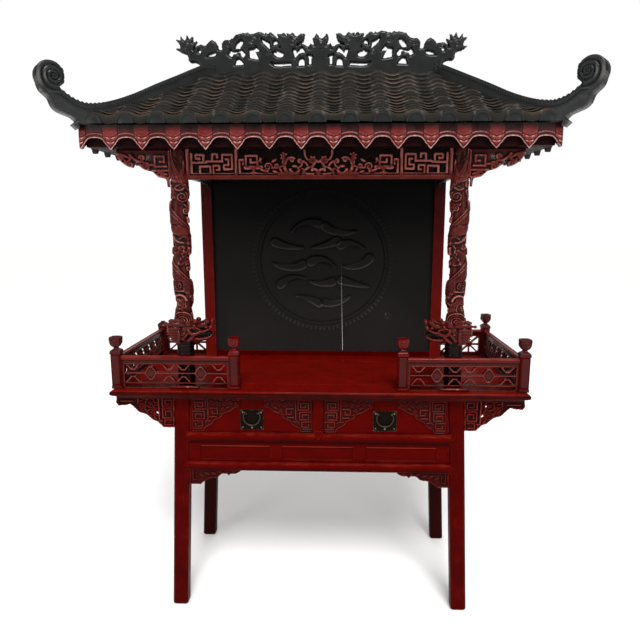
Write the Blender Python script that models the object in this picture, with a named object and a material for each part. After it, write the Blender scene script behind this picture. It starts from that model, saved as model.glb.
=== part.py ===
"""Altar shrine cabinet: a drawer table that carries a roofed shrine with a screen, columns and galleries.

Metres, +Z up, the front faces -Y, the middle of the footprint is at X = 0, Y = 0.
"""
import math

import bmesh
import bpy
from mathutils import Matrix, Vector

GAP = 0.0003                     # air between pieces that touch
SIDES = {"left": -1, "right": 1}
ENDS = {"front": -1, "back": 1}

# table
TOP_HALF_X = 0.732
TOP_HALF_Y = 0.311
TOP_Z = 0.864
TOP_UNDER_Z = 0.832
LEG = 0.056                      # width of a leg
LEG_DEEP = 0.046
LEG_FOOT_X = 0.530               # where a leg's middle meets the floor
LEG_SPLAY = 0.0496               # how far a leg leans in for each metre of height
LEG_FRONT_Y = -0.263
LEG_BACK_Y = 0.270
LAP = 0.008                      # how far rails stand proud of the legs
MID_RAIL_Z = (0.665, 0.697)
LOWER_RAIL_Z = (0.553, 0.588)
RAIL_BACK_Y = -0.235
CASE_BOTTOM_Z = 0.555
SHELF_Z = (0.685, 0.697)
DIVIDER_HALF = 0.015

# drawers
DRAWER_FACE_Y = -0.259
DRAWER_BACK_Y = 0.200
DRAWER_FRONT_THICK = 0.016
DRAWER_TOP_Z = 0.829
DRAWER_SIDE_TOP_Z = 0.800
DRAWER_CLEAR = 0.0015
DRAWER_INNER_X = 0.0185
DRAWER_OUTER_X = 0.448
DRAWER_WALL = 0.010
DRAWER_FLOOR = 0.008
SPANDREL_RISE = 0.004
PULL_X = 0.2385                  # middle of a drawer
PLATE_HALF_X = 0.042
PLATE_Z = (0.709, 0.785)
PLATE_THICK = 0.0025
BAIL_AXIS_Z = 0.772
BAIL_OUT = 0.0055                # hinge axis in front of the plate
BAIL_HALF = 0.030
BAIL_DROP = 0.044
BAIL_RADIUS = 0.0025
LUG_HALF = 0.0225                # outer face of each lug
LUG_WIDTH = 0.006

# galleries
POST_HALF = 0.017
POST_CORNER_X = 0.715
POST_INNER_X = 0.295
POST_Y = 0.266
POST_BODY_Z = 0.991
POST_CAP_Z = 1.005
CAP_HALF = 0.0195
LOST_FINIAL = "back_left_corner" # the post whose cup finial is missing
FINIAL_TOP_Z = 1.051
GALLERY_RAIL_Z = (0.963, 0.982)
GALLERY_FRAME_Z = (0.884, 0.957)
GALLERY_THICK = 0.012
GALLERY_RAIL_HALF = 0.010

# screen, columns and the carved boards under the roof
COLUMN_X = 0.478
COLUMN_Y = -0.225
COLUMN_RADIUS = 0.0285
COLUMN_SWELL = 0.004
COLUMN_PITCH = 0.185
COLUMN_SIDES = 10
COLUMN_TWIST_Z = (1.105, 1.570)
DRUM_RADIUS = 0.031
SHAFT_RADIUS = 0.0248            # the plain head of a column
SCREEN_POST_X = (0.470, 0.514)
SCREEN_POST_Y = (0.229, 0.269)
SCREEN_PANEL_Y = (0.243, 0.255)
SCREEN_RAIL_TOP_Z = 0.886
MEDALLION_Z = 1.284
MEDALLION_RADII = (0.282, 0.266)
MEDALLION_PROUD = 0.0015
MEDALLION_SIDES = 36
CRACK_X = 0.080
CRACK_HALF = 0.0016              # at the lower edge of the panel, from where it narrows
CRACK_TOP_Z = 1.290
FRIEZE_Z = (1.590, 1.690)
FRIEZE_HALF_X = 0.4527
FRIEZE_THICK = 0.018
BEAM_Z = 1.597

# roof
EAVE_HALF_X = 0.775
EAVE_HALF_Y = 0.311
FASCIA_TOP_Z = 1.757
FASCIA_TIP_Z = 1.678
ARCH_TOP_Z = 1.7205
FASCIA_THICK = 0.016
DRIPS_FRONT = 15
DRIPS_SIDE = 6
FRAME_WALL = 0.040
FRAME_FLOOR = 0.015
RIDGE_HALF_X = 0.405
RIDGE_TILE_Z = 2.002
OVERHANG = 0.007
COURSES = 13
COURSE_LIP = 0.0035
SLOPE_THICK = 0.028
HIP_HALF = 0.026
CREST_HALF = 0.015
CREST_BASE_Z = 1.976

# turns a board drawn in X and Z so that it lies flat, with its front face upwards
LAY_FLAT = Matrix(((1, 0, 0, 0), (0, 0, 1, 0), (0, -1, 0, 0), (0, 0, 0, 1)))


# ---------- meshes ----------

def clear_scene():
    for thing in list(bpy.data.objects):
        bpy.data.objects.remove(thing, do_unlink=True)


def lacquer(name, hex_colour, roughness, metallic=0.0):
    """A plain Principled material from an sRGB hex colour."""
    material = bpy.data.materials.new(name)
    material.use_nodes = True
    shader = material.node_tree.nodes["Principled BSDF"]
    channels = [int(hex_colour[i:i + 2], 16) / 255 for i in (0, 2, 4)]
    linear = [c / 12.92 if c <= 0.04045 else ((c + 0.055) / 1.055) ** 2.4 for c in channels]
    shader.inputs["Base Color"].default_value = (*linear, 1)
    shader.inputs["Roughness"].default_value = roughness
    shader.inputs["Metallic"].default_value = metallic
    material.diffuse_color = (*linear, 1)
    return material


def piece(name, bm, material, place=(0, 0, 0)):
    """One named object from a finished bmesh."""
    bmesh.ops.recalc_face_normals(bm, faces=bm.faces[:])
    if bm.calc_volume(signed=True) < 0:
        bmesh.ops.reverse_faces(bm, faces=bm.faces[:])
    mesh = bpy.data.meshes.new(name)
    bm.to_mesh(mesh)
    bm.free()
    mesh.materials.append(material)
    thing = bpy.data.objects.new(name, mesh)
    thing.location = place
    bpy.context.collection.objects.link(thing)
    return thing


def smooth(thing, degrees=35):
    thing.data.shade_smooth()
    thing.data.set_sharp_from_angle(angle=math.radians(degrees))
    return thing


def join(thing, bm, operation="UNION"):
    """Unites a second shape with an object, or cuts it away, and leaves no cutter behind."""
    other = piece(thing.name + "_tool", bm, thing.data.materials[0], thing.location)
    modifier = thing.modifiers.new("join", "BOOLEAN")
    modifier.object = other
    modifier.operation = operation
    modifier.solver = "EXACT"
    bpy.context.view_layer.update()
    graph = bpy.context.evaluated_depsgraph_get()
    result = bpy.data.meshes.new_from_object(thing.evaluated_get(graph))
    thing.modifiers.clear()
    thing.data = result
    result.name = thing.name
    bpy.data.objects.remove(other, do_unlink=True)
    return thing


def loft(rings, closed_ends=True):
    """A closed skin through rings of points, each ring with the same number of points."""
    bm = bmesh.new()
    loops = [[bm.verts.new(p) for p in ring] for ring in rings]
    for low, high in zip(loops, loops[1:]):
        for i in range(len(low)):
            bm.faces.new((low[i - 1], low[i], high[i], high[i - 1]))
    if closed_ends:
        bm.faces.new(reversed(loops[0]))
        bm.faces.new(loops[-1])
    return bm


def box(x, y, z):
    """A box from three (low, high) pairs."""
    corners = [(x[0], y[0]), (x[1], y[0]), (x[1], y[1]), (x[0], y[1])]
    return loft([[(a, b, height) for a, b in corners] for height in z])


def board(outline, front, back, holes=()):
    """A board with an outline and holes given in X and Z, from Y = front to Y = back."""
    bm = bmesh.new()
    for loop in (outline, *holes):
        ring = [bm.verts.new((x, front, z)) for x, z in loop]
        for i in range(len(ring)):
            bm.edges.new((ring[i - 1], ring[i]))
    bmesh.ops.triangle_fill(bm, use_beauty=True, edges=bm.edges[:])
    grown = bmesh.ops.extrude_face_region(bm, geom=bm.faces[:])["geom"]
    moved = [g for g in grown if isinstance(g, bmesh.types.BMVert)]
    bmesh.ops.translate(bm, verts=moved, vec=(0, back - front, 0))
    return bm


def pocketed(outline, front, back, pockets, floor):
    """A board with pockets sunk from its front face down to Y = floor."""
    bm = board(outline, front, back, pockets)
    for loop in pockets:
        rim = [bm.verts.new((x, floor, z)) for x, z in loop]
        bm.faces.new(rim)
    back_faces = [f for f in bm.faces if all(abs(v.co.y - back) < 1e-7 for v in f.verts)]
    bmesh.ops.delete(bm, geom=back_faces, context="FACES_ONLY")
    tidy_pockets(bm, outline, pockets, back, floor)
    return bm


def tidy_pockets(bm, outline, pockets, back, floor):
    """Closes the back of a pocketed board and brings its pocket walls up to the floor."""
    inner = [(x, z) for loop in pockets for x, z in loop]
    for v in bm.verts:
        at_back = abs(v.co.y - back) < 1e-7
        if at_back and any(abs(v.co.x - x) + abs(v.co.z - z) < 1e-7 for x, z in inner):
            v.co.y = floor
    bmesh.ops.remove_doubles(bm, verts=bm.verts[:], dist=1e-6)
    rim = [v for v in bm.verts if abs(v.co.y - back) < 1e-7]
    edges = [e for e in bm.edges if e.verts[0] in rim and e.verts[1] in rim and e.is_boundary]
    bmesh.ops.triangle_fill(bm, use_beauty=True, edges=edges)


def swing(bm, turn):
    bmesh.ops.transform(bm, matrix=turn, verts=bm.verts[:])
    return bm


def mirrored(outline, side):
    return [(side * x, z) for x, z in outline]


def arc(cx, cz, radius, start, end, steps):
    """Points on a circle from one angle to another, in degrees."""
    turns = [math.radians(start + (end - start) * i / steps) for i in range(steps + 1)]
    return [(cx + radius * math.cos(a), cz + radius * math.sin(a)) for a in turns]


def rectangle(x0, x1, z0, z1):
    return [(x0, z0), (x1, z0), (x1, z1), (x0, z1)]


def leaf(cx, cz, long, wide, lean, points=5):
    """A small slanting oval hole."""
    turn = math.radians(lean)
    out = []
    for i in range(points):
        a = 2 * math.pi * i / points
        u, v = long * math.cos(a), wide * math.sin(a)
        out.append((cx + u * math.cos(turn) - v * math.sin(turn),
                    cz + u * math.sin(turn) + v * math.cos(turn)))
    return out


# ---------- table ----------

def leg_x(z):
    return LEG_FOOT_X - LEG_SPLAY * z


def leg_inner(z):
    return leg_x(z) - LEG / 2 - GAP


def between_legs(low, high):
    """The outline of a board that fills the space between two splayed legs."""
    return [(-leg_inner(low), low), (leg_inner(low), low), (leg_inner(high), high), (-leg_inner(high), high)]


def make_legs(material):
    for end, front in (("front", LEG_FRONT_Y), ("back", LEG_BACK_Y - LEG_DEEP)):
        for side, sign in SIDES.items():
            rings = []
            for z, trim in ((0, 0.004), (0.006, 0), (TOP_UNDER_Z - GAP, 0)):
                mid, half = sign * leg_x(z), LEG / 2 - trim
                ys = (front + trim, front + LEG_DEEP - trim)
                rings.append([(mid - half, ys[0], z), (mid + half, ys[0], z),
                              (mid + half, ys[1], z), (mid - half, ys[1], z)])
            thing = piece(f"leg_{end}_{side}", loft(rings), material)
            bevel = thing.modifiers.new("arris", "BEVEL")
            bevel.width = 0.005
            bevel.segments = 1
            bevel.limit_method = "ANGLE"
            bevel.angle_limit = math.radians(60)


def make_table_top(material):
    rings = []
    for z, inset in ((TOP_UNDER_Z, 0.020), (0.838, 0.018), (0.845, 0.007), (0.850, 0.0),
                     (0.860, 0.0), (TOP_Z, 0.004)):
        x, y = TOP_HALF_X - inset, TOP_HALF_Y - inset
        rings.append([(-x, -y, z), (x, -y, z), (x, y, z), (-x, y, z)])
    piece("table_top", loft(rings), material)


def make_rail(name, z, notch, material):
    """A rail between the front legs whose proud face ends in points lapped over them."""
    low, high = z
    middle = (low + high) / 2
    reach = leg_inner(middle) + 0.022
    foot, head = leg_inner(low), leg_inner(high)
    outline = [(-foot, low), (foot, low), (reach, middle), (head, high)]
    if notch:
        outline += [(DIVIDER_HALF, high), (0, high - notch), (-DIVIDER_HALF, high)]
    outline += [(-head, high), (-reach, middle)]
    front = LEG_FRONT_Y - GAP
    bm = board(outline, front - LAP, front)
    proud = [e for e in bm.edges if all(abs(v.co.y - front + LAP) < 1e-7 for v in e.verts)]
    edges = [e for e in proud if not e.is_boundary and e.calc_face_angle(0) > 1]
    bmesh.ops.bevel(bm, geom=edges, offset=0.006, segments=1, affect="EDGES", profile=0.5)
    thing = piece(name, bm, material)
    inset = 0.0002
    body = [(-foot + inset, low + inset), (foot - inset, low + inset),
            (head - inset, high - inset), (-head + inset, high - inset)]
    join(thing, board(body, front - 0.002, RAIL_BACK_Y))


def make_front_panels(material):
    low, high = LOWER_RAIL_Z[1] + GAP, MID_RAIL_Z[0] - GAP
    outline = between_legs(low, high)
    pockets = [rectangle(-0.432, -0.175, 0.594, 0.641), rectangle(-0.133, 0.127, 0.594, 0.641),
               rectangle(0.171, 0.428, 0.594, 0.641)]
    piece("front_panel_board", pocketed(outline, -0.255, -0.237, pockets, -0.250), material)


def make_drawer_deck(material):
    """The shelf under the drawers with the partition and the front post between them."""
    back = 0.232
    reach = 0.455
    thing = piece("drawer_deck", box((-reach, reach), (RAIL_BACK_Y + GAP, back), SHELF_Z), material)
    partition = (SHELF_Z[1] - 0.002, TOP_UNDER_Z - GAP)
    join(thing, box((-0.0075, 0.0075), (RAIL_BACK_Y + 0.004, back), partition))
    post = rectangle(-DIVIDER_HALF, DIVIDER_HALF, MID_RAIL_Z[1] + GAP, TOP_UNDER_Z - GAP)
    join(thing, board(post, LEG_FRONT_Y - LAP + 0.002, RAIL_BACK_Y + 0.008))
    half, foot = DIVIDER_HALF - 0.0005, MID_RAIL_Z[1] + GAP
    point = [(-half, foot), (0, MID_RAIL_Z[1] - 0.024), (half, foot),
             (half, foot + 0.012), (-half, foot + 0.012)]
    join(thing, board(point, LEG_FRONT_Y - LAP, LEG_FRONT_Y - GAP - 0.0025))


def make_case_boards(material):
    """Side boards between the front and back legs, and the plain back board."""
    low, high = CASE_BOTTOM_Z, TOP_UNDER_Z - GAP
    front, back = LEG_FRONT_Y + LEG_DEEP + GAP, LEG_BACK_Y - LEG_DEEP - GAP
    for side, sign in SIDES.items():
        pocket = rectangle(front + 0.030, back - 0.030, low + 0.030, high - 0.040)
        bm = pocketed(rectangle(front, back, low, high), -0.009, 0.009, [pocket], -0.004)
        swing(bm, Matrix.Rotation(math.radians(90), 4, "Z"))
        for v in bm.verts:
            v.co.x = sign * (leg_x(v.co.z) + 0.008 + v.co.x)
        piece(f"side_board_{side}", bm, material)
    piece("back_board", board(between_legs(low, high), 0.236, 0.252), material)


def drawer_front_outline(sign):
    low, high = SHELF_Z[1] + 0.0018, DRAWER_TOP_Z
    near = DIVIDER_HALF + DRAWER_CLEAR
    outline = [(near, low), (leg_inner(low) - DRAWER_CLEAR, low),
               (leg_inner(high) - DRAWER_CLEAR, high), (near, high)]
    return mirrored(outline, sign)


def spandrel(sign, toward):
    """The stepped, carved corner of a drawer front; toward is +1 for the corner nearer the leg."""
    corner = 0.216
    top = DRAWER_TOP_Z - 0.001
    steps = [(0.040, 0.703), (0.046, 0.716), (0.071, 0.731), (0.078, 0.744), (0.104, 0.756),
             (0.114, 0.770), (0.138, 0.779), (0.156, 0.792), (0.172, 0.796), (0.172, top)]
    stepped = [(corner, top), (corner, 0.703)] + [(corner - run, z) for run, z in steps]
    return [(sign * PULL_X + sign * toward * x, z) for x, z in stepped]


def make_drawer(side, sign, material):
    front, back = DRAWER_FACE_Y, DRAWER_BACK_Y
    face = board(drawer_front_outline(sign), front, front + DRAWER_FRONT_THICK)
    thing = piece(f"drawer_{side}", face, material)
    xs = sorted((sign * DRAWER_INNER_X, sign * DRAWER_OUTER_X))
    start = front + DRAWER_FRONT_THICK - 0.002
    floor_z = SHELF_Z[1] + GAP
    tray = pocketed(rectangle(xs[0], xs[1], start, back), -DRAWER_SIDE_TOP_Z, -floor_z,
                    [rectangle(xs[0] + DRAWER_WALL, xs[1] - DRAWER_WALL, start + 0.006, back - DRAWER_WALL)],
                    -floor_z - DRAWER_FLOOR)
    join(thing, swing(tray, LAY_FLAT))
    for toward in (-1, 1):
        join(thing, board(spandrel(sign, toward), front - SPANDREL_RISE, front + 0.003))
    return thing


def make_pull(side, sign, plate_material, bail_material):
    """The square back plate with two lugs, and the bail that swings between them."""
    face = DRAWER_FACE_Y - GAP - PLATE_THICK
    corner = 0.006
    x, low, high = PLATE_HALF_X, *PLATE_Z
    outline = [(-x + corner, low), (x - corner, low), (x, low + corner), (x, high - corner),
               (x - corner, high), (-x + corner, high), (-x, high - corner), (-x, low + corner)]
    plate = piece(f"pull_plate_{side}", board(outline, face, DRAWER_FACE_Y - GAP), plate_material,
                  (sign * PULL_X, 0, 0))
    axis_y = face - BAIL_OUT
    for lug in (-1, 1):
        xs = sorted((lug * LUG_HALF, lug * (LUG_HALF - LUG_WIDTH)))
        join(plate, box(xs, (axis_y - 0.0035, face + 0.001), (BAIL_AXIS_Z - 0.0035, BAIL_AXIS_Z + 0.0035)))
    join(plate, box((-0.003, 0.003), (face - 0.002, face + 0.001), (0.713, 0.719)))
    shoulder = 0.010
    steps = 8
    path = [(-LUG_HALF - GAP, 0), (-BAIL_HALF + 0.002, -0.002)]
    for i in range(steps + 1):
        a = math.pi * i / steps
        path.append((-BAIL_HALF * math.cos(a), -shoulder - (BAIL_DROP - shoulder) * math.sin(a) ** 0.9))
    path += [(BAIL_HALF - 0.002, -0.002), (LUG_HALF + GAP, 0)]
    bail = piece(f"bail_{side}", tube(path, BAIL_RADIUS, 6), bail_material,
                 (sign * PULL_X, axis_y, BAIL_AXIS_Z))
    smooth(bail, 60)


def tube(path, radius, sides):
    """A round bar along a path in the X-Z plane, with ends that face along X."""
    rings = []
    for i, (x, z) in enumerate(path):
        before = path[max(i - 1, 0)]
        after = path[min(i + 1, len(path) - 1)]
        if i in (0, len(path) - 1):
            run = Vector((-1, 0))
        else:
            run = Vector((after[0] - before[0], after[1] - before[1])).normalized()
        across = Vector((-run.y, run.x))
        ring = []
        for k in range(sides):
            a = 2 * math.pi * k / sides
            u, v = radius * math.cos(a), radius * math.sin(a)
            ring.append((x + across.x * u, v, z + across.y * u))
        rings.append(ring)
    return loft(rings)


def make_table_carvings(material):
    """Stepped wings outside the front legs and small brackets under the lower rail."""
    top = TOP_UNDER_Z - GAP
    for side, sign in SIDES.items():
        leg_high, leg_low = leg_x(top) + LEG / 2 + GAP, leg_x(0.713) + LEG / 2 + GAP
        wing = [(leg_high, top), (0.716, top), (0.720, 0.810), (0.712, 0.798), (0.686, 0.799),
                (0.674, 0.803), (0.660, 0.788), (0.645, 0.771), (0.622, 0.762), (0.599, 0.741),
                (0.580, 0.733), (0.563, 0.714), (leg_low, 0.713)]
        holes = [leaf(0.546, 0.742, 0.013, 0.006, 35), leaf(0.586, 0.768, 0.014, 0.007, 30),
                 leaf(0.548, 0.785, 0.012, 0.009, 0), leaf(0.635, 0.795, 0.014, 0.006, 25),
                 leaf(0.592, 0.803, 0.012, 0.006, 0)]
        piece(f"table_wing_{side}", board(mirrored(wing, sign), -0.262, -0.246,
                                          [mirrored(h, sign) for h in holes]), material)
        high = LOWER_RAIL_Z[0] - GAP
        bracket = [(leg_inner(high), high), (0.286, high), (0.286, 0.546), (0.306, 0.536), (0.322, 0.537),
                   (0.329, 0.529), (0.337, 0.537), (0.356, 0.535), (0.371, 0.522), (0.400, 0.517),
                   (0.426, 0.502), (0.434, 0.494), (leg_inner(0.494), 0.494)]
        piece(f"under_bracket_{side}", board(mirrored(bracket, sign), -0.260, -0.246), material)


# ---------- galleries ----------

def octagon_ring(z, half, square):
    """Eight points of a square (square = 1) or of a circle (square = 0)."""
    ring = []
    for k in range(8):
        a = math.pi * k / 4
        corner = math.sqrt(2) if k % 2 and square else 1
        ring.append((half * corner * math.cos(a), half * corner * math.sin(a), z))
    return ring


def make_gallery_posts(material):
    spots = {}
    for side, sign in SIDES.items():
        spots[f"front_{side}_inner"] = (sign * POST_INNER_X, -POST_Y)
        spots[f"front_{side}_corner"] = (sign * POST_CORNER_X, -POST_Y)
        spots[f"back_{side}_corner"] = (sign * POST_CORNER_X, POST_Y)
    for name, (x, y) in spots.items():
        levels = [(TOP_Z + GAP, POST_HALF, 1), (POST_BODY_Z, POST_HALF, 1),
                  (POST_BODY_Z + 0.003, CAP_HALF, 1), (POST_CAP_Z - 0.003, CAP_HALF, 1),
                  (POST_CAP_Z, 0.007, 0)]
        if name != LOST_FINIAL:
            levels += [(1.012, 0.008, 0), (1.018, 0.015, 0), (1.044, 0.0215, 0), (FINIAL_TOP_Z, 0.018, 0)]
        rings = [octagon_ring(*level) for level in levels]
        smooth(piece(f"gallery_post_{name}", loft(rings), material, (x, y, 0)), 40)


def lattice_holes(start, end, cells):
    """Slanting openings above and below a middle bar, leaning left and right in turn."""
    bar = 0.005
    low, high = GALLERY_FRAME_Z[0] + 0.008, GALLERY_FRAME_Z[1] - 0.007
    middle = (low + high) / 2
    width = (end - start) / cells
    holes = []
    for i in range(cells):
        left, right = start + i * width + bar / 2, start + (i + 1) * width - bar / 2
        slant = 0.35 * width
        near = [(left + slant, low), (left, middle - bar / 2),
                (left, middle + bar / 2), (left + slant, high)]
        far = [(right - slant * 0.2, low), (right - slant, middle - bar / 2),
               (right - slant, middle + bar / 2), (right - slant * 0.2, high)]
        lower = [near[0], far[0], far[1], near[1]]
        upper = [near[2], far[2], far[3], near[3]]
        if i % 2:
            turn = left + right
            lower = [(turn - x, z) for x, z in lower]
            upper = [(turn - x, z) for x, z in upper]
        holes += [lower, upper]
    return holes


def gallery_run(length, holes):
    """A gallery panel along X from 0 to its length, standing on Y = 0."""
    outline = rectangle(0, length, TOP_Z + GAP, GALLERY_RAIL_Z[0] + 0.002)
    low, high = 0.868, GALLERY_FRAME_Z[0] - 0.002
    end, half = 0.008, length / 2
    near = [(end, low), (half - 0.014, low), (half - 0.006, high), (end, high)]
    far = [(length - x, z) for x, z in near]
    return board(outline, -GALLERY_THICK / 2, GALLERY_THICK / 2, [near, far] + holes)


def gallery_rail(length):
    low, high = GALLERY_RAIL_Z
    r = GALLERY_RAIL_HALF
    section = [(-r, low + 0.005), (-r + 0.004, low), (r - 0.004, low), (r, low + 0.005),
               (r, high - 0.005), (r - 0.004, high), (-r + 0.004, high), (-r, high - 0.005)]
    return loft([[(x, y, z) for y, z in section] for x in (0, length)])


def make_gallery(name, place, turn, length, holes, material):
    thing = piece(name, gallery_run(length, holes), material)
    join(thing, gallery_rail(length))
    thing.matrix_world = Matrix.Translation(place) @ Matrix.Rotation(math.radians(turn), 4, "Z")


def make_galleries(material):
    edge = POST_HALF + GAP
    for side, sign in SIDES.items():
        length = POST_CORNER_X - POST_INNER_X - 2 * edge
        start = sign * (POST_INNER_X + edge) if sign > 0 else sign * (POST_CORNER_X - edge)
        make_gallery(f"gallery_front_{side}", (start, -POST_Y, 0), 0, length,
                     lattice_holes(0.010, length - 0.010, 6), material)
        length = 2 * (POST_Y - edge)
        swirls = [leaf(length * (i + 0.5) / 8, 0.921 + 0.008 * (-1) ** i, 0.020, 0.012, 35 * (-1) ** i)
                  for i in range(8)]
        make_gallery(f"gallery_side_{side}", (sign * POST_CORNER_X, -POST_Y + edge, 0), 90, length,
                     swirls, material)
        length = POST_CORNER_X - POST_HALF - SCREEN_POST_X[1] - 2 * GAP
        start = SCREEN_POST_X[1] + GAP if sign > 0 else -SCREEN_POST_X[1] - GAP - length
        make_gallery(f"gallery_back_{side}", (start, POST_Y, 0), 0, length,
                     lattice_holes(0.010, length - 0.010, 4), material)


# ---------- shrine ----------

def make_screen(post_material, panel_material, rail_material):
    top = FRIEZE_Z[1] - GAP
    for side, sign in SIDES.items():
        xs = sorted((sign * SCREEN_POST_X[0], sign * SCREEN_POST_X[1]))
        piece(f"screen_post_{side}", box(xs, SCREEN_POST_Y, (TOP_Z + GAP, top)), post_material)
    half = SCREEN_POST_X[0] - GAP
    low = SCREEN_RAIL_TOP_Z + GAP
    front, back = SCREEN_PANEL_Y
    panel = piece("screen_panel", board(rectangle(-half, half, low, top), front, back), panel_material)
    rim, hole = (arc(0, MEDALLION_Z, radius, 0, 360, MEDALLION_SIDES)[:-1] for radius in MEDALLION_RADII)
    join(panel, board(rim, front - MEDALLION_PROUD, front + 0.002, [hole]))
    crack = [(CRACK_X - CRACK_HALF, low - 0.010), (CRACK_X + CRACK_HALF, low - 0.010), (CRACK_X, CRACK_TOP_Z)]
    join(panel, board(crack, front - 0.010, back + 0.010), "DIFFERENCE")
    rail = box((-half, half), (0.238, 0.260), (TOP_Z + GAP, SCREEN_RAIL_TOP_Z))
    piece("screen_bottom_rail", rail, rail_material)


def column_ring(z, sign):
    """One level of a column: a round drum below, a winding body above, a plain head under the roof."""
    low, high = COLUMN_TWIST_Z
    ring = []
    for k in range(COLUMN_SIDES):
        a = 2 * math.pi * k / COLUMN_SIDES
        if z < low:
            radius = DRUM_RADIUS
        elif z > high:
            radius = SHAFT_RADIUS
        else:
            radius = COLUMN_RADIUS + COLUMN_SWELL * math.cos(a - 2 * math.pi * z / COLUMN_PITCH)
        ring.append((sign * radius * math.cos(a), radius * math.sin(a), z))
    return ring


def blob(middle, radii, sign):
    bm = bmesh.new()
    bmesh.ops.create_icosphere(bm, subdivisions=1, radius=1)
    place = Matrix.Translation((sign * middle[0], middle[1], middle[2])) @ Matrix.Diagonal((*radii, 1))
    return swing(bm, place)


def make_columns(material):
    """Each column is one carving: drum, dragon's head looking inwards, and its body wound up the shaft."""
    low, high = COLUMN_TWIST_Z
    levels = [TOP_Z + GAP, 1.000, low - 0.001]
    steps = 13
    levels += [low + (high - low) * i / steps for i in range(steps + 1)]
    levels += [high + 0.012, FRIEZE_Z[1] - GAP]
    head = [((-0.066, -0.010, 1.062), (0.041, 0.030, 0.036)),
            ((-0.020, -0.006, 1.069), (0.048, 0.043, 0.048)),
            ((0.036, -0.004, 1.060), (0.046, 0.040, 0.038))]
    for side, sign in SIDES.items():
        thing = piece(f"column_{side}", loft([column_ring(z, sign) for z in levels]), material,
                      (sign * COLUMN_X, COLUMN_Y, 0))
        for middle, radii in head:
            join(thing, blob(middle, radii, sign))
        smooth(thing, 50)


def make_frieze(material):
    """The pierced board between the columns: frets at the ends, scrolls and clouds towards the middle."""
    low, high = FRIEZE_Z[0], FRIEZE_Z[1] - GAP
    half = FRIEZE_HALF_X
    holes = [leaf(0, 1.640, 0.011, 0.017, 0, 6)]
    # each opening: place along the board, height, half length, half width, lean
    scrolls = [(0.345, 1.656, 0.020, 0.010, 0), (0.318, 1.621, 0.016, 0.008, 20),
               (0.362, 1.622, 0.012, 0.008, -20), (0.255, 1.660, 0.022, 0.007, 15),
               (0.252, 1.618, 0.024, 0.006, -10), (0.180, 1.655, 0.018, 0.008, -20),
               (0.172, 1.617, 0.020, 0.006, 10), (0.105, 1.660, 0.020, 0.007, 10),
               (0.098, 1.620, 0.022, 0.007, 0), (0.045, 1.618, 0.014, 0.006, 15)]
    fret = [(x, z) for x in (0.400, 0.430) for z in (1.612, 1.648)]
    for sign in (-1, 1):
        holes += [mirrored(rectangle(x - 0.010, x + 0.010, z, z + 0.024), sign) for x, z in fret]
        holes += [mirrored(leaf(*scroll), sign) for scroll in scrolls]
    front, back = COLUMN_Y - FRIEZE_THICK / 2, COLUMN_Y + FRIEZE_THICK / 2
    piece("frieze", board(rectangle(-half, half, low, high), front, back, holes), material)


def make_upper_carvings(material, beam_material):
    """Wings outside the columns, and the boards from each column back to the screen."""
    top = FRIEZE_Z[1] - GAP
    start = COLUMN_X + SHAFT_RADIUS + GAP
    for side, sign in SIDES.items():
        wing = [(start, top), (0.690, top), (0.687, 1.668), (0.672, 1.650), (0.652, 1.635),
                (0.634, 1.630), (0.625, 1.645), (0.612, 1.636), (0.592, 1.623), (0.566, 1.616),
                (0.545, 1.598), (0.522, 1.592), (0.518, 1.566), (0.511, 1.566), (0.511, 1.590),
                (start, 1.600)]
        holes = [leaf(0.535, 1.660, 0.017, 0.006, 0), leaf(0.532, 1.628, 0.010, 0.006, 20),
                 leaf(0.590, 1.660, 0.018, 0.007, -15), leaf(0.640, 1.665, 0.013, 0.006, 20)]
        piece(f"upper_wing_{side}", board(mirrored(wing, sign), COLUMN_Y - 0.008, COLUMN_Y + 0.008,
                                          [mirrored(h, sign) for h in holes]), material)
        front, back = COLUMN_Y + SHAFT_RADIUS + GAP, SCREEN_POST_Y[0] - GAP
        sag = [(0, -0.008), (0.030, 0.004), (0.060, 0.008)]
        outline = [(front, top)] + [(front + run, BEAM_Z + rise) for run, rise in sag]
        outline += [(back - run, BEAM_Z + rise) for run, rise in reversed(sag)] + [(back, top)]
        bm = swing(board(outline, -0.008, 0.008), Matrix.Rotation(math.radians(90), 4, "Z"))
        piece(f"side_frieze_{side}", bm, beam_material, (sign * (COLUMN_X + 0.006), 0, 0))


# ---------- roof ----------

def make_roof_frame(material):
    """The tray that rests on the columns and the screen and carries the eaves."""
    x, y = EAVE_HALF_X - FASCIA_THICK - GAP, EAVE_HALF_Y - FASCIA_THICK - GAP
    low, high = FRIEZE_Z[1], FASCIA_TOP_Z
    pocket = rectangle(-x + FRAME_WALL, x - FRAME_WALL, -y + FRAME_WALL, y - FRAME_WALL)
    bm = pocketed(rectangle(-x, x, -y, y), -high, -low, [pocket], -low - FRAME_FLOOR)
    piece("roof_frame", swing(bm, LAY_FLAT), material)


def drip_edge(half, drips):
    """The lower edge of an eave board: pointed drips with shallow arches between them."""
    period = 2 * half / drips
    step = [(0, FASCIA_TIP_Z), (0.20, 1.7030), (0.37, ARCH_TOP_Z), (0.63, ARCH_TOP_Z), (0.80, 1.7030)]
    points = [(-half + period * (i + along), z) for i in range(drips) for along, z in step]
    return points + [(half, FASCIA_TIP_Z)]


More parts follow.
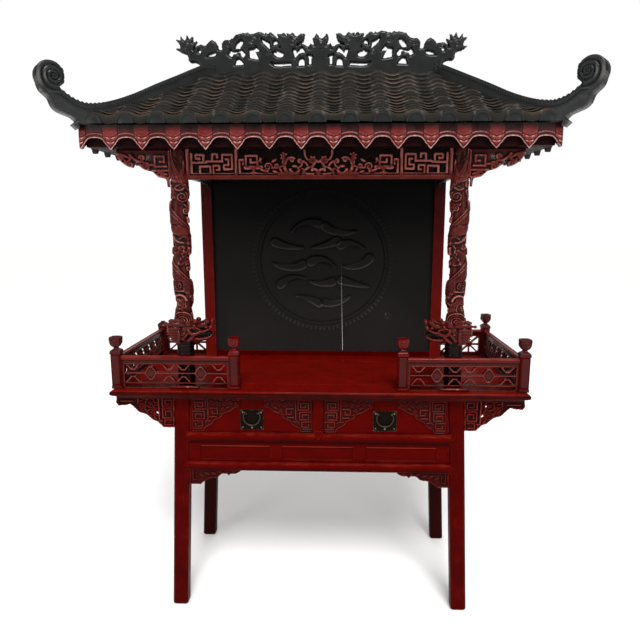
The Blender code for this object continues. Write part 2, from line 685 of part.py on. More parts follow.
def make_fascias(material):
    runs = {"front": (EAVE_HALF_X, DRIPS_FRONT, EAVE_HALF_Y, 0),
            "back": (EAVE_HALF_X, DRIPS_FRONT, EAVE_HALF_Y, 180),
            "left": (EAVE_HALF_Y, DRIPS_SIDE, EAVE_HALF_X, -90),
            "right": (EAVE_HALF_Y, DRIPS_SIDE, EAVE_HALF_X, 90)}
    for name, (half, drips, out, turn) in runs.items():
        half -= GAP
        outline = drip_edge(half, drips) + [(half, FASCIA_TOP_Z), (-half, FASCIA_TOP_Z)]
        bm = board(outline, -out, -out + FASCIA_THICK)
        for v in bm.verts:
            if v.co.y > -out + 1e-6:
                v.co.x = max(min(v.co.x, half - FASCIA_THICK), -half + FASCIA_THICK)
        thing = piece(f"fascia_{name}", bm, material)
        thing.rotation_euler = (0, 0, math.radians(turn))


def tile_z(share):
    """Height of the tiles from the ridge (0) to the eave (1): a slope that eases outwards."""
    return RIDGE_TILE_Z - 0.285 * share + 0.070 * share ** 2


def slope_section(first, last):
    """Points (share, z) round a slope's section: stepped courses on top, plain below, a flat seat."""
    top = []
    for i in range(COURSES):
        a, b = (first + (last - first) * (i + k) / COURSES for k in (0, 1))
        top += [(a, tile_z(a) - 0.001 if i else tile_z(a)), (b, tile_z(b) + COURSE_LIP)]
    seat = (EAVE_HALF_Y - FASCIA_THICK) / (EAVE_HALF_Y + OVERHANG)
    under = [(last, FASCIA_TOP_Z + GAP), (seat, FASCIA_TOP_Z + GAP)]
    steps = 5
    for i in range(1, steps + 1):
        share = seat + (first - seat) * i / steps
        under.append((share, tile_z(share) - SLOPE_THICK))
    return top + under


def make_slopes(material):
    depth = EAVE_HALF_Y + OVERHANG
    run_x = (EAVE_HALF_X - RIDGE_HALF_X) * depth / EAVE_HALF_Y
    plan = math.hypot(run_x, depth)
    clear = (HIP_HALF + GAP) * plan
    for name, turn in (("front", 0), ("back", 180)):
        rings = ([], [])
        for share, z in slope_section(0.049, 1):
            reach = RIDGE_HALF_X + run_x * share - clear / depth
            rings[0].append((-reach, -depth * share, z))
            rings[1].append((reach, -depth * share, z))
        thing = piece(f"roof_slope_{name}", loft(rings), material)
        thing.rotation_euler = (0, 0, math.radians(turn))
    for name, turn in (("left", -90), ("right", 90)):
        rings = ([], [])
        first = (clear / run_x + 0.004) / depth
        for share, z in slope_section(first, 1):
            reach = depth * share - clear / run_x
            rings[0].append((-reach, -RIDGE_HALF_X - run_x * share, z))
            rings[1].append((reach, -RIDGE_HALF_X - run_x * share, z))
        thing = piece(f"roof_slope_{name}", loft(rings), material)
        thing.rotation_euler = (0, 0, math.radians(turn))


def hip_outline():
    """A hip ridge in its own upright plane: distance from the ridge's end outwards, and height."""
    top = [(-0.030, 2.012), (0.030, 2.012), (0.149, 1.953), (0.225, 1.915), (0.297, 1.877),
           (0.362, 1.848), (0.415, 1.831), (0.458, 1.825), (0.490, 1.832), (0.513, 1.844), (0.530, 1.856)]
    volute = arc(0.5605, 1.8965, 0.0415, 235, -25, 12)
    seat = FASCIA_TOP_Z + GAP
    under = [(0.590, 1.852), (0.568, 1.832), (0.558, 1.808), (0.543, 1.794), (0.517, 1.785),
             (0.499, 1.778), (0.489, 1.768), (0.502, 1.757), (0.486, 1.743), (0.486, seat),
             (0.440, seat), (0.340, 1.785), (0.200, 1.845), (-0.030, 1.960)]
    return top + volute + under


def make_hips(material):
    plan = Vector((EAVE_HALF_X - RIDGE_HALF_X, EAVE_HALF_Y, 0))
    for end, back in ENDS.items():
        for side, sign in SIDES.items():
            bm = board(hip_outline(), -HIP_HALF, HIP_HALF)
            away = Vector((sign * plan.x, back * plan.y, 0)).normalized()
            turn = math.atan2(away.y, away.x)
            place = Matrix.Translation((sign * RIDGE_HALF_X, 0, 0)) @ Matrix.Rotation(turn, 4, "Z")
            swing(bm, place)
            keep = Vector((0, back, 0))
            everything = bm.verts[:] + bm.edges[:] + bm.faces[:]
            cut = bmesh.ops.bisect_plane(bm, geom=everything, plane_co=keep * (CREST_HALF + GAP),
                                         plane_no=-keep, clear_outer=True)
            rim = [g for g in cut["geom_cut"] if isinstance(g, bmesh.types.BMEdge)]
            bmesh.ops.triangle_fill(bm, use_beauty=True, edges=rim)
            smooth(piece(f"hip_{end}_{side}", bm, material), 30)


def crest_half():
    """Right half of the crest's outline, from the base out to the tail and back to the middle."""
    tail = [(0.438, CREST_BASE_Z), (0.443, 2.0135), (0.462, 2.024), (0.475, 2.023), (0.484, 2.031),
            (0.488, 2.050), (0.511, 2.059), (0.530, 2.072), (0.513, 2.074), (0.516, 2.086), (0.529, 2.103), (0.511, 2.101),
            (0.511, 2.115), (0.495, 2.098), (0.487, 2.120), (0.479, 2.103), (0.465, 2.115), (0.466, 2.092),
            (0.450, 2.099), (0.463, 2.068)]
    body = [(0.454, 2.079), (0.438, 2.086), (0.420, 2.081), (0.408, 2.094), (0.397, 2.099), (0.380, 2.092),
            (0.370, 2.066), (0.359, 2.066), (0.360, 2.087), (0.349, 2.100), (0.327, 2.101), (0.305, 2.118),
            (0.280, 2.123), (0.250, 2.120), (0.220, 2.127), (0.199, 2.118), (0.180, 2.125), (0.156, 2.105)]
    head = [(0.146, 2.120), (0.124, 2.113), (0.105, 2.120), (0.086, 2.111), (0.070, 2.120), (0.055, 2.117),
            (0.062, 2.093), (0.086, 2.080), (0.062, 2.084), (0.040, 2.068)]
    pearl = [(0.037, 2.087), (0.022, 2.078), (0.030, 2.103), (0.012, 2.112)]
    return tail + body + head + pearl


def crest_holes():
    """Openings of the right half, between the coils, legs and clouds."""
    return [[(0.415, 2.044), (0.412, 2.049), (0.388, 2.056), (0.380, 2.053), (0.384, 2.047), (0.399, 2.044)],
            [(0.447, 2.058), (0.446, 2.067), (0.432, 2.065), (0.440, 2.056)],
            [(0.311, 2.071), (0.306, 2.085), (0.292, 2.096), (0.283, 2.096), (0.284, 2.087), (0.294, 2.070)],
            [(0.337, 2.051), (0.327, 2.064), (0.317, 2.058), (0.288, 2.065), (0.274, 2.050), (0.283, 2.039),
             (0.297, 2.051), (0.317, 2.051), (0.324, 2.042)],
            [(0.307, 2.032), (0.295, 2.032), (0.280, 2.015), (0.313, 2.014)],
            [(0.260, 2.066), (0.244, 2.067), (0.234, 2.075), (0.220, 2.060), (0.238, 2.060), (0.226, 2.033),
             (0.258, 2.038)],
            [(0.214, 2.103), (0.195, 2.091), (0.186, 2.089), (0.184, 2.067), (0.209, 2.090)],
            [(0.171, 2.080), (0.170, 2.092), (0.159, 2.097), (0.155, 2.086)],
            [(0.174, 2.055), (0.158, 2.060), (0.148, 2.075), (0.150, 2.058), (0.135, 2.052), (0.137, 2.042),
             (0.155, 2.040)],
            [(0.182, 2.021), (0.165, 2.016), (0.110, 2.018), (0.105, 2.011), (0.164, 2.010)],
            [(0.101, 2.064), (0.091, 2.065), (0.086, 2.054), (0.068, 2.073), (0.056, 2.056), (0.076, 2.052),
             (0.092, 2.037)],
            [(0.077, 2.029), (0.068, 2.033), (0.061, 2.030), (0.058, 2.011), (0.081, 2.010)],
            [(0.048, 2.046), (0.028, 2.041), (0.034, 2.034), (0.034, 2.015), (0.042, 2.015), (0.042, 2.036)]]


def make_crest(material):
    right = crest_half()
    outline = right + mirrored(reversed(right), -1)
    holes = [mirrored(h, sign) for h in crest_holes() for sign in (1, -1)]
    piece("crest", board(outline, -CREST_HALF, CREST_HALF, holes), material)


# ---------- assembly ----------

def main():
    clear_scene()
    red = lacquer("red_lacquer", "8E1E14", 0.38)
    dark_red = lacquer("ox_blood_lacquer", "55100C", 0.42)
    carved = lacquer("carved_red_lacquer", "A04438", 0.45)
    black = lacquer("black_lacquer", "1F1D1D", 0.55)
    tiles = lacquer("rubbed_black_tiles", "36372F", 0.5)
    satin = lacquer("satin_black_lacquer", "2D2F30", 0.4)
    bronze = lacquer("dark_bronze", "3C3524", 0.45, 0.9)
    worn = lacquer("worn_bronze", "9A9488", 0.35, 0.9)

    make_legs(dark_red)
    make_table_top(red)
    make_rail("mid_rail", MID_RAIL_Z, 0.026, red)
    make_rail("lower_rail", LOWER_RAIL_Z, 0, red)
    make_front_panels(red)
    make_drawer_deck(red)
    make_case_boards(dark_red)
    for side, sign in SIDES.items():
        make_drawer(side, sign, red)
        make_pull(side, sign, bronze, worn)
    make_table_carvings(carved)
    make_gallery_posts(red)
    make_galleries(carved)
    make_screen(red, black, red)
    make_columns(carved)
    make_frieze(carved)
    make_upper_carvings(carved, satin)
    make_roof_frame(satin)
    make_fascias(carved)
    make_slopes(tiles)
    make_hips(satin)
    make_crest(satin)


main()
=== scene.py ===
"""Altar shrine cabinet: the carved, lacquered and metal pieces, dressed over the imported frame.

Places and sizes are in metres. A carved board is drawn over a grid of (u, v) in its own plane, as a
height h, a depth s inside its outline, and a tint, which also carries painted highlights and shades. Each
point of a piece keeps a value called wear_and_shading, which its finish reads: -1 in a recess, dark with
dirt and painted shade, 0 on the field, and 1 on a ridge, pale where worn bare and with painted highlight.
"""
import math

import bmesh
import bpy
import numpy as np
from mathutils import Matrix, Vector


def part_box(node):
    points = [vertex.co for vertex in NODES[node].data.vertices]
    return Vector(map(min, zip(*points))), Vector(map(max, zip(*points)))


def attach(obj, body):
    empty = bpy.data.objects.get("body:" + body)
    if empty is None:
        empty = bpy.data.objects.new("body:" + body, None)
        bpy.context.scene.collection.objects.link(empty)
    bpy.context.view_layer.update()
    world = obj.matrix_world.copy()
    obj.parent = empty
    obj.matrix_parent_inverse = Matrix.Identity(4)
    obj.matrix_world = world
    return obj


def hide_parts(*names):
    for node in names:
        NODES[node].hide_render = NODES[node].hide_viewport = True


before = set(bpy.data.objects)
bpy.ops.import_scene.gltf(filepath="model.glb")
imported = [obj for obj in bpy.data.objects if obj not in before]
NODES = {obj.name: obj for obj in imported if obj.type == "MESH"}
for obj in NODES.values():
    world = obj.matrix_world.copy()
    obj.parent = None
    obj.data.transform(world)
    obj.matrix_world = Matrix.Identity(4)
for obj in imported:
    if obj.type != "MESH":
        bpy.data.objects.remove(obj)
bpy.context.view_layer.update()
SIDES = {"left": -1, "right": 1}
ROOT = "cabinet"
FAR = 0.012                      # how far from an edge its distance is worked out
GRIT_MM = 1.5                    # finest roughness of every finish
STREAK_MM = 3                    # streaks in every finish


# ---------- finishes ----------


def rgb(hex_colour):
    """sRGB hex to linear."""
    parts = [int(hex_colour[i:i + 2], 16) / 255 for i in (0, 2, 4)]
    return (*[c / 12.92 if c <= 0.04045 else ((c + 0.055) / 1.055) ** 2.4 for c in parts], 1)


def add(tree, kind, inputs=None, out=0, **settings):
    """Adds a node with its settings; an input is a value or the output that feeds it. Gives one output."""
    node = tree.nodes.new("ShaderNode" + kind)
    for key, value in settings.items():
        setattr(node, key, value)
    for key, value in (inputs or {}).items():
        if isinstance(value, bpy.types.NodeSocket):
            tree.links.new(value, node.inputs[key])
        else:
            node.inputs[key].default_value = value
    return node.outputs[out]


def finish(name, stops, roughness, grain=(1, 1, 8), blotch=60, relief=0.0004, metallic=0.0,
           edge=0.0, spread=0.25, sheen=0.16, top_shade=None):
    """A worn surface whose colour runs from recess (0), dark with dirt and painted shade, through field (0.5)
    to rubbed ridge (1), pale with wear and painted highlight.

    blotch is the size in mm of its clouds, and STREAK_MM that of its streaks, which grain draws out along an
    axis. edge bares the arrises, spread is how uneven it is, and top_shade is (low, high, shade_amount): a
    painted shade that deepens up its height.
    """
    material = bpy.data.materials.new(name)
    material.use_nodes = True
    tree = material.node_tree
    where = add(tree, "TexCoord", out="Object")
    patterns = []
    for size_mm, detail, stretch in ((blotch, 4, (1, 1, 1)), (STREAK_MM, 3, grain), (GRIT_MM, 2, (1, 1, 1))):
        scaled = add(tree, "Mapping", {"Vector": where, "Scale": tuple(1 / s for s in stretch)})
        patterns.append(add(tree, "TexNoise", {"Vector": scaled, "Scale": 1000 / size_mm, "Detail": detail}))
    clouds, streaks, grit = patterns
    carved = add(tree, "Attribute", out="Fac", attribute_name="wear_and_shading")
    level = add(tree, "Math", {0: carved, 1: 0.5, 2: 0.5}, operation="MULTIPLY_ADD")
    if edge:
        rounded = add(tree, "Bevel", {"Radius": 0.003}, samples=3)
        flat = add(tree, "NewGeometry", out="Normal")
        turn = add(tree, "VectorMath", {0: rounded, 1: flat}, "Value", operation="DOT_PRODUCT")
        bare = add(tree, "Math", {0: 1.0, 1: turn}, operation="SUBTRACT", use_clamp=True)
        bare = add(tree, "Math", {0: bare, 1: edge}, operation="MULTIPLY", use_clamp=True)
        level = add(tree, "Math", {0: bare, 1: clouds, 2: level}, operation="MULTIPLY_ADD")
    for pattern, amount in ((clouds, spread), (streaks, spread * 0.8)):
        centred = add(tree, "Math", {0: pattern, 1: 0.5}, operation="SUBTRACT")
        level = add(tree, "Math", {0: centred, 1: amount, 2: level}, operation="MULTIPLY_ADD", use_clamp=True)
    # top_shade paints shade that deepens with height in object Z
    if top_shade:
        low, high, shade_amount = top_shade
        height = add(tree, "SeparateXYZ", {0: where}, "Z")
        height_shade = add(tree, "MapRange", {"Value": height, 1: low, 2: high, 3: 0.0, 4: shade_amount},
                     interpolation_type="SMOOTHSTEP")
        level = add(tree, "Math", {0: level, 1: height_shade}, operation="SUBTRACT", use_clamp=True)
    colour = add(tree, "ValToRGB", {"Fac": level})
    points = colour.node.color_ramp.elements
    while len(points) < len(stops):
        points.new(0.5)
    for point, (place, hex_colour) in zip(points, stops):
        point.position = place
        point.color = rgb(hex_colour)
    gloss = add(tree, "MapRange", {"Value": clouds, 1: 0.3, 2: 0.7, 3: roughness - 0.07, 4: roughness + 0.09})
    fine = add(tree, "Math", {0: streaks, 1: grit}, operation="ADD")
    bump = add(tree, "Bump", {"Height": fine, "Distance": relief, "Strength": 0.5})
    shader = tree.nodes["Principled BSDF"]
    for key, output in (("Base Color", colour), ("Roughness", gloss), ("Normal", bump)):
        tree.links.new(output, shader.inputs[key])
    shader.inputs["Metallic"].default_value = metallic
    shader.inputs["Specular IOR Level"].default_value = sheen
    return material


# cinnabar lacquer brushed over hardwood and rubbed down: even red with faint grain and paler worn arrises
RED = finish("brushed_cinnabar_lacquer",
             [(0, "1A0100"), (0.45, "450100"), (0.62, "500200"), (0.9, "842C20")],
             0.34, grain=(14, 1, 1), edge=1.2, sheen=0.022, spread=0.38)
# the same lacquer made brighter on the table top, as painted light on its upper face
RED_TOP_LIT = finish("lit_cinnabar_top",
                 [(0, "2A0200"), (0.45, "620702"), (0.62, "6E0A04"), (0.9, "A04C3C")],
                 0.30, grain=(16, 1, 1), edge=0.35, sheen=0.04, spread=0.45)
# the same lacquer on the round rails, glossier from hands
RED_RAIL = finish("hand_rubbed_cinnabar_rail",
                  [(0, "1A0100"), (0.45, "4C0502"), (0.62, "5A0D08"), (0.9, "8E3A2E")],
                  0.24, grain=(14, 1, 1), sheen=0.17)
# the same lacquer on upright members, its grain standing
RED_UPRIGHT = finish("brushed_cinnabar_upright",
                     [(0, "180100"), (0.45, "3E0100"), (0.62, "480200"), (0.9, "70261C")],
                     0.36, grain=(1, 1, 14), edge=1.0, sheen=0.022, spread=0.60)
# lacquer of the screen posts, lit brighter low down, with a painted shade from the roof deepening towards the
# top
RED_ROOF_SHADED = finish("roof_shaded_cinnabar_upright",
                    [(0, "0C0102"), (0.45, "680F0A"), (0.62, "74140E"), (0.9, "96443A")],
                    0.36, grain=(1, 1, 14), edge=1.0, sheen=0.07, top_shade=(1.05, 1.62, 0.42))
# older ox-blood lacquer, darker and satin
OXBLOOD = finish("ox_blood_lacquer",
                 [(0, "0A0101"), (0.45, "200101"), (0.62, "280202"), (0.9, "401210")],
                 0.42, grain=(1, 1, 14), edge=1.0, sheen=0.04)
# frame under the eaves: the same lacquer made nearly black
NEAR_BLACK_RED = finish("near_black_frame_lacquer",
               [(0, "040202"), (0.45, "160707"), (0.62, "200A09"), (0.9, "381C1A")],
               0.50, grain=(14, 1, 1), edge=0.8, sheen=0.03)
# carved cinnabar lacquer: dirt and painted shade dark in the cuts, ridges rosy where bare and with painted
# highlight
CARVED = finish("carved_cinnabar_lacquer",
                [(0.08, "0A0101"), (0.34, "230504"), (0.52, "44100C"), (0.76, "5C211C"), (0.97, "94584F")],
                0.30, blotch=35, spread=0.2, relief=0.0003, sheen=0.12)
# carved lacquer of the eaves, its lips rubbed almost to the ground coat; its palest colours also carry
# painted glints and rim highlights
CARVED_LIPS = finish("rubbed_and_highlit_cinnabar_eaves",
                     [(0.06, "070303"), (0.30, "280D0D"), (0.50, "521613"), (0.68, "782B26"),
                      (0.97, "BE9690")],
                     0.30, blotch=30, spread=0.16, relief=0.0003, sheen=0.2)
# carved lacquer on the drawers and wings, redder and less rubbed
CARVED_RED = finish("carved_red_lacquer",
                    [(0.08, "0C0101"), (0.34, "220302"), (0.52, "400502"), (0.76, "560D08"),
                     (0.97, "7A3028")],
                    0.34, blotch=35, spread=0.18, relief=0.0003, sheen=0.05)
# dark red lacquer of the dragon heads and galleries, its bosses polished by hands and paler with painted
# highlight, its hollows dark with painted shade
POLISHED = finish("polished_cinnabar_carving",
                  [(0.08, "060101"), (0.34, "1C0403"), (0.52, "3E0A07"), (0.76, "5A1811"), (0.97, "8C4A42")],
                  0.26, blotch=30, spread=0.16, relief=0.0002, sheen=0.16)
# rosy dusty lacquer on the sunk panels of the gallery posts
ROSY = finish("dusty_rose_lacquer",
              [(0, "1A0808"), (0.45, "381211"), (0.6, "441615"), (0.9, "6E3632")],
              0.36, grain=(1, 1, 10), edge=1.0, sheen=0.1)
# matte black lacquer of the screen, faintly brown, with painted shade darkening it towards its top
BLACK = finish("matte_black_lacquer",
               [(0.06, "020202"), (0.45, "211F1E"), (0.6, "2A2726"), (0.9, "5C5854")],
               0.50, grain=(1, 1, 10), blotch=160, spread=0.12, relief=0.0002, sheen=0.07,
               top_shade=(1.08, 1.66, 0.52))
# satin black lacquer of the ridges and the crest
SATIN = finish("satin_black_lacquer",
               [(0.05, "070808"), (0.4, "191A1A"), (0.6, "222323"), (0.9, "565450")],
               0.30, blotch=50, spread=0.10, relief=0.0002, sheen=0.2)
# black lacquer tiles, each edge rubbed through to brown wood
TILES = finish("rubbed_black_tiles",
               [(0.08, "070706"), (0.42, "191815"), (0.6, "24211D"), (0.95, "5F4F40")],
               0.40, blotch=70, spread=0.30, relief=0.0005)
# cast and filed bronze gone dark
BRONZE = finish("dark_cast_bronze",
                [(0.1, "050302"), (0.45, "0F0804"), (0.6, "140B06"), (0.95, "6E6250")],
                0.46, blotch=16, metallic=0.3, spread=0.3, edge=1.0, sheen=0.05)
# the same bronze on the bails, polished by hands
BAR = finish("hand_polished_bronze",
             [(0.1, "1A140F"), (0.45, "362D24"), (0.6, "42382D"), (0.95, "887C6A")],
             0.34, blotch=10, metallic=0.6, spread=0.2)


# ---------- flat drawing: distances and lines in a board's own plane ----------

def near(u, v, points, closed=False):
    """Distance from every spot to a line of points."""
    best = np.full(np.shape(u), 1e3)
    ends = list(points[1:]) + ([points[0]] if closed else [])
    for (ax, ay), (bx, by) in zip(points, ends):
        dx, dy = bx - ax, by - ay
        t = np.clip(((u - ax) * dx + (v - ay) * dy) / (dx * dx + dy * dy + 1e-12), 0, 1)
        best = np.minimum(best, np.hypot(u - ax - t * dx, v - ay - t * dy))
    return best


def bump_at(x, middle, wide):
    """1 at the middle, falling evenly to 0 at wide on either side."""
    return np.clip(1 - np.abs(x - middle) / wide, 0, 1)


def dome(x):
    """The height of a unit round at x from its middle, 0 beyond it."""
    return np.sqrt(np.clip(1 - x ** 2, 0, 1))


def step_up(x, start, wide):
    """0 below start, rising evenly to 1 over wide."""
    return np.clip((x - start) / wide, 0, 1)


def spiral(cx, cz, outer, inner, start, turns, steps=10):
    """A line that winds in from its outer radius; start is in degrees, turns may be negative."""
    count = max(4, int(abs(turns) * steps))
    line = []
    for i in range(count + 1):
        share = i / count
        radius = outer + (inner - outer) * share
        a = math.radians(start) + 2 * math.pi * turns * share
        line.append((cx + radius * math.cos(a), cz + radius * math.sin(a)))
    return line


def curl(side, x, z, radius, start, turns, inner=0.16):
    """A spiral that is mirrored with its side."""
    return spiral(side * x, z, radius, radius * inner, start if side > 0 else 180 - start, side * turns)


def bow(a, b, sag, steps=8):
    """A line from a to b that bows sideways by sag."""
    dx, dz = b[0] - a[0], b[1] - a[1]
    long = math.hypot(dx, dz)
    line = []
    for i in range(steps + 1):
        t = i / steps
        out = 4 * sag * t * (1 - t) / long
        line.append((a[0] + dx * t - dz * out, a[1] + dz * t + dx * out))
    return line


def flip(line, side):
    """A line as it lies on that side."""
    return [(side * x, z) for x, z in line]


def ripple(*spots):
    """An even, repeatable jitter from -1 to 1."""
    total = 0.0
    for rate, value in zip((127.1, 311.7, 74.7), spots):
        total = total + np.asarray(value) * rate
    part = np.sin(total) * 43758.5453
    return 2 * (part - np.floor(part)) - 1


def scales(along, row):
    """Overlapping scales: along counts them in a row, and row counts the rows."""
    step = np.floor(row)
    lobe = np.abs(((along + 0.5 * (step % 2)) % 1) - 0.5) * 2
    return np.clip(1 - ((1 - (row - step)) ** 2 + lobe ** 2) * 0.85, 0, 1) ** 0.7


def outline_of(node, place, facing):
    """Closed loops round a CAD node's flat face, drawn in the (u, v) that place gives each corner."""
    mesh = NODES[node].data
    mesh.calc_loop_triangles()
    corners = np.array([v.co for v in mesh.vertices])
    along = corners @ np.array(facing)
    edges = {}
    for tri in mesh.loop_triangles:
        if min(along[i] for i in tri.vertices) < along.max() - 2e-4:
            continue
        spots = [tuple(round(x, 5) for x in place(corners[i])) for i in tri.vertices]
        for a, b in zip(spots, spots[1:] + spots[:1]):
            if not edges.pop((b, a), False):
                edges[(a, b)] = True
    follow = {}
    for a, b in edges:
        follow.setdefault(a, []).append(b)
    loops = []
    while follow:
        loop, spot = [], next(iter(follow))
        while spot in follow:
            loop.append(spot)
            nexts = follow[spot]
            step = nexts.pop()
            if not nexts:
                del follow[spot]
            spot = step
        loops.append(loop)
    return loops


def soften(loop, corner=50, steps=3):
    """Rounds a closed loop through its points, and keeps the corners that turn sharply."""
    count = len(loop)
    points = [Vector(p) for p in loop]
    sharp = []
    for i in range(count):
        before, after = points[i] - points[i - 1], points[(i + 1) % count] - points[i]
        sharp.append(abs(before.angle_signed(after, 0)) > math.radians(corner))
    line = []
    for i in range(count):
        a, b = points[i], points[(i + 1) % count]
        out = (b - a) if sharp[i] else (b - points[i - 1]) / 2
        back = (b - a) if sharp[(i + 1) % count] else (points[(i + 2) % count] - a) / 2
        cap = (b - a).length
        out, back = (v * min(1, cap / max(v.length, 1e-9)) for v in (out, back))
        for k in range(steps):
            t = k / steps
            t2, t3 = t * t, t * t * t
            spot = a * (2 * t3 - 3 * t2 + 1) + b * (3 * t2 - 2 * t3)
            spot += out * (t3 - 2 * t2 + t) + back * (t3 - t2)
            line.append((spot.x, spot.y))
    return line


# ---------- making and settling pieces ----------

def pick(grown, kind):
    """The points, edges or faces among what an operator made."""
    return [part for part in grown["geom"] if isinstance(part, kind)]


def sheet(bm, columns, rows):
    """Lays a grid, and gives each of its points with its column and its row."""
    bmesh.ops.create_grid(bm, x_segments=columns - 1, y_segments=rows - 1, size=1)
    for vert in bm.verts:
        yield vert, round((vert.co.x + 1) / 2 * (columns - 1)), round((vert.co.y + 1) / 2 * (rows - 1))


def open_edges(parts):
    return [edge for edge in parts if edge.is_boundary]


def loft(bm, rings, tones=()):
    """Draws a cap out through rings of places, and gives the last cap; tones are the rings' rub."""
    layer = bm.verts.layers.float.get("wear_and_shading")
    disc = bmesh.ops.create_circle(bm, cap_ends=True, segments=len(rings[0]), radius=1)
    cap = disc["verts"][0].link_faces[0]
    for k, ring in enumerate(rings):
        if k:
            grown = bmesh.ops.extrude_face_region(bm, geom=[cap, *cap.edges, *cap.verts])
            cap = pick(grown, bmesh.types.BMFace)[0]
        for vert, spot in zip(cap.verts, ring):
            vert.co = spot
            if tones:
                vert[layer] = tones[k]
    return cap


def shift(bm, verts, scale=(1, 1, 1), degrees=0, axis="Z", move=(0, 0, 0)):
    """Scales points about the origin, turns them about an axis, then moves them."""
    bmesh.ops.scale(bm, vec=scale, verts=verts)
    bmesh.ops.rotate(bm, verts=verts, matrix=Matrix.Rotation(math.radians(degrees), 3, axis))
    bmesh.ops.translate(bm, vec=move, verts=verts)


def block(bm, size, centre, ease=0.0, segments=2):
    """A block with eased edges."""
    verts = bmesh.ops.create_cube(bm, size=1)["verts"]
    shift(bm, verts, size, move=centre)
    if ease:
        edges = list({e for v in verts for e in v.link_edges})
        bmesh.ops.bevel(bm, geom=edges, offset=ease, segments=segments, affect="EDGES", profile=0.5,
                        material=-1)


def ball(bm, centre, radii, degrees=0):
    """An oval boss, leaned about Y."""
    verts = bmesh.ops.create_icosphere(bm, subdivisions=2, radius=1)["verts"]
    shift(bm, verts, radii, degrees, "Y", centre)


def lathe(bm, profile, x, y, square):
    """A turned solid on an upright axis; square pulls its round towards a square."""
    rings = []
    for radius, z in profile:
        ring = []
        for k in range(24):
            a = 2 * math.pi * k / 24
            reach = radius / max(abs(math.cos(a)), abs(math.sin(a))) ** square
            ring.append((x + reach * math.cos(a), y + reach * math.sin(a), z))
        rings.append(ring)
    loft(bm, rings)


def limb(bm, points, radii, sides=8, flatten=1.0):
    """A tapering round limb along 3-D points."""
    points = [Vector(point) for point in points]
    rings = []
    for i, (point, radius) in enumerate(zip(points, radii)):
        run = (points[min(i + 1, len(points) - 1)] - points[max(i - 1, 0)]).normalized()
        side = run.cross(Vector((0, 1, 0)))
        side = side.normalized() if side.length > 1e-4 else Vector((1, 0, 0))
        up = run.cross(side) * flatten
        turns = [2 * math.pi * k / sides for k in range(sides)]
        rings.append([point + (side * math.cos(a) + up * math.sin(a)) * radius for a in turns])
    loft(bm, rings)


def arc(a, b, c, count=8):
    """Points on a quadratic curve pulled towards b."""
    a, b, c = Vector(a), Vector(b), Vector(c)
    return [a * (1 - t) ** 2 + b * 2 * t * (1 - t) + c * t * t for t in [i / count for i in range(count + 1)]]


def put(name, data, place=(0, 0, 0), turn=(0, 0, 0)):
    """Links an object to the scene; a bmesh is made into its mesh first."""
    if isinstance(data, bmesh.types.BMesh):
        mesh = bpy.data.meshes.new(name)
        data.to_mesh(mesh)
        data.free()
        data = mesh
    thing = bpy.data.objects.new(name, data)
    thing.location = place
    thing.rotation_euler = turn
    bpy.context.scene.collection.objects.link(thing)
    return thing


def applied(thing):
    """The mesh of an object with its modifiers applied."""
    return bpy.data.meshes.new_from_object(thing.evaluated_get(bpy.context.evaluated_depsgraph_get()))


def settle(name, bm, material, nodes=(), body=ROOT, angle=50):
    """A finished piece from a bmesh: normals out, smooth with sharp arrises, riding on its body."""
    bmesh.ops.recalc_face_normals(bm, faces=bm.faces[:])
    if bm.calc_volume(signed=True) < 0:
        bmesh.ops.reverse_faces(bm, faces=bm.faces[:])
    thing = put(name, bm)
    thing.data.materials.append(material)
    thing.data.shade_smooth()
    thing.data.set_sharp_from_angle(angle=math.radians(angle))
    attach(thing, body)
    if nodes:
        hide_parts(*nodes)
    return thing


def join(target, bm):
    """Joins a second bmesh to a finished piece."""
    bmesh.ops.recalc_face_normals(bm, faces=bm.faces[:])
    extra = bpy.data.meshes.new("extra")
    bm.to_mesh(extra)
    bm.free()
    whole = bmesh.new()
    whole.from_mesh(target.data)
    whole.from_mesh(extra)
    whole.to_mesh(target.data)
    whole.free()
    bpy.data.meshes.remove(extra)
    target.data.shade_smooth()
    target.data.set_sharp_from_angle(angle=math.radians(50))


# ---------- carved boards ----------

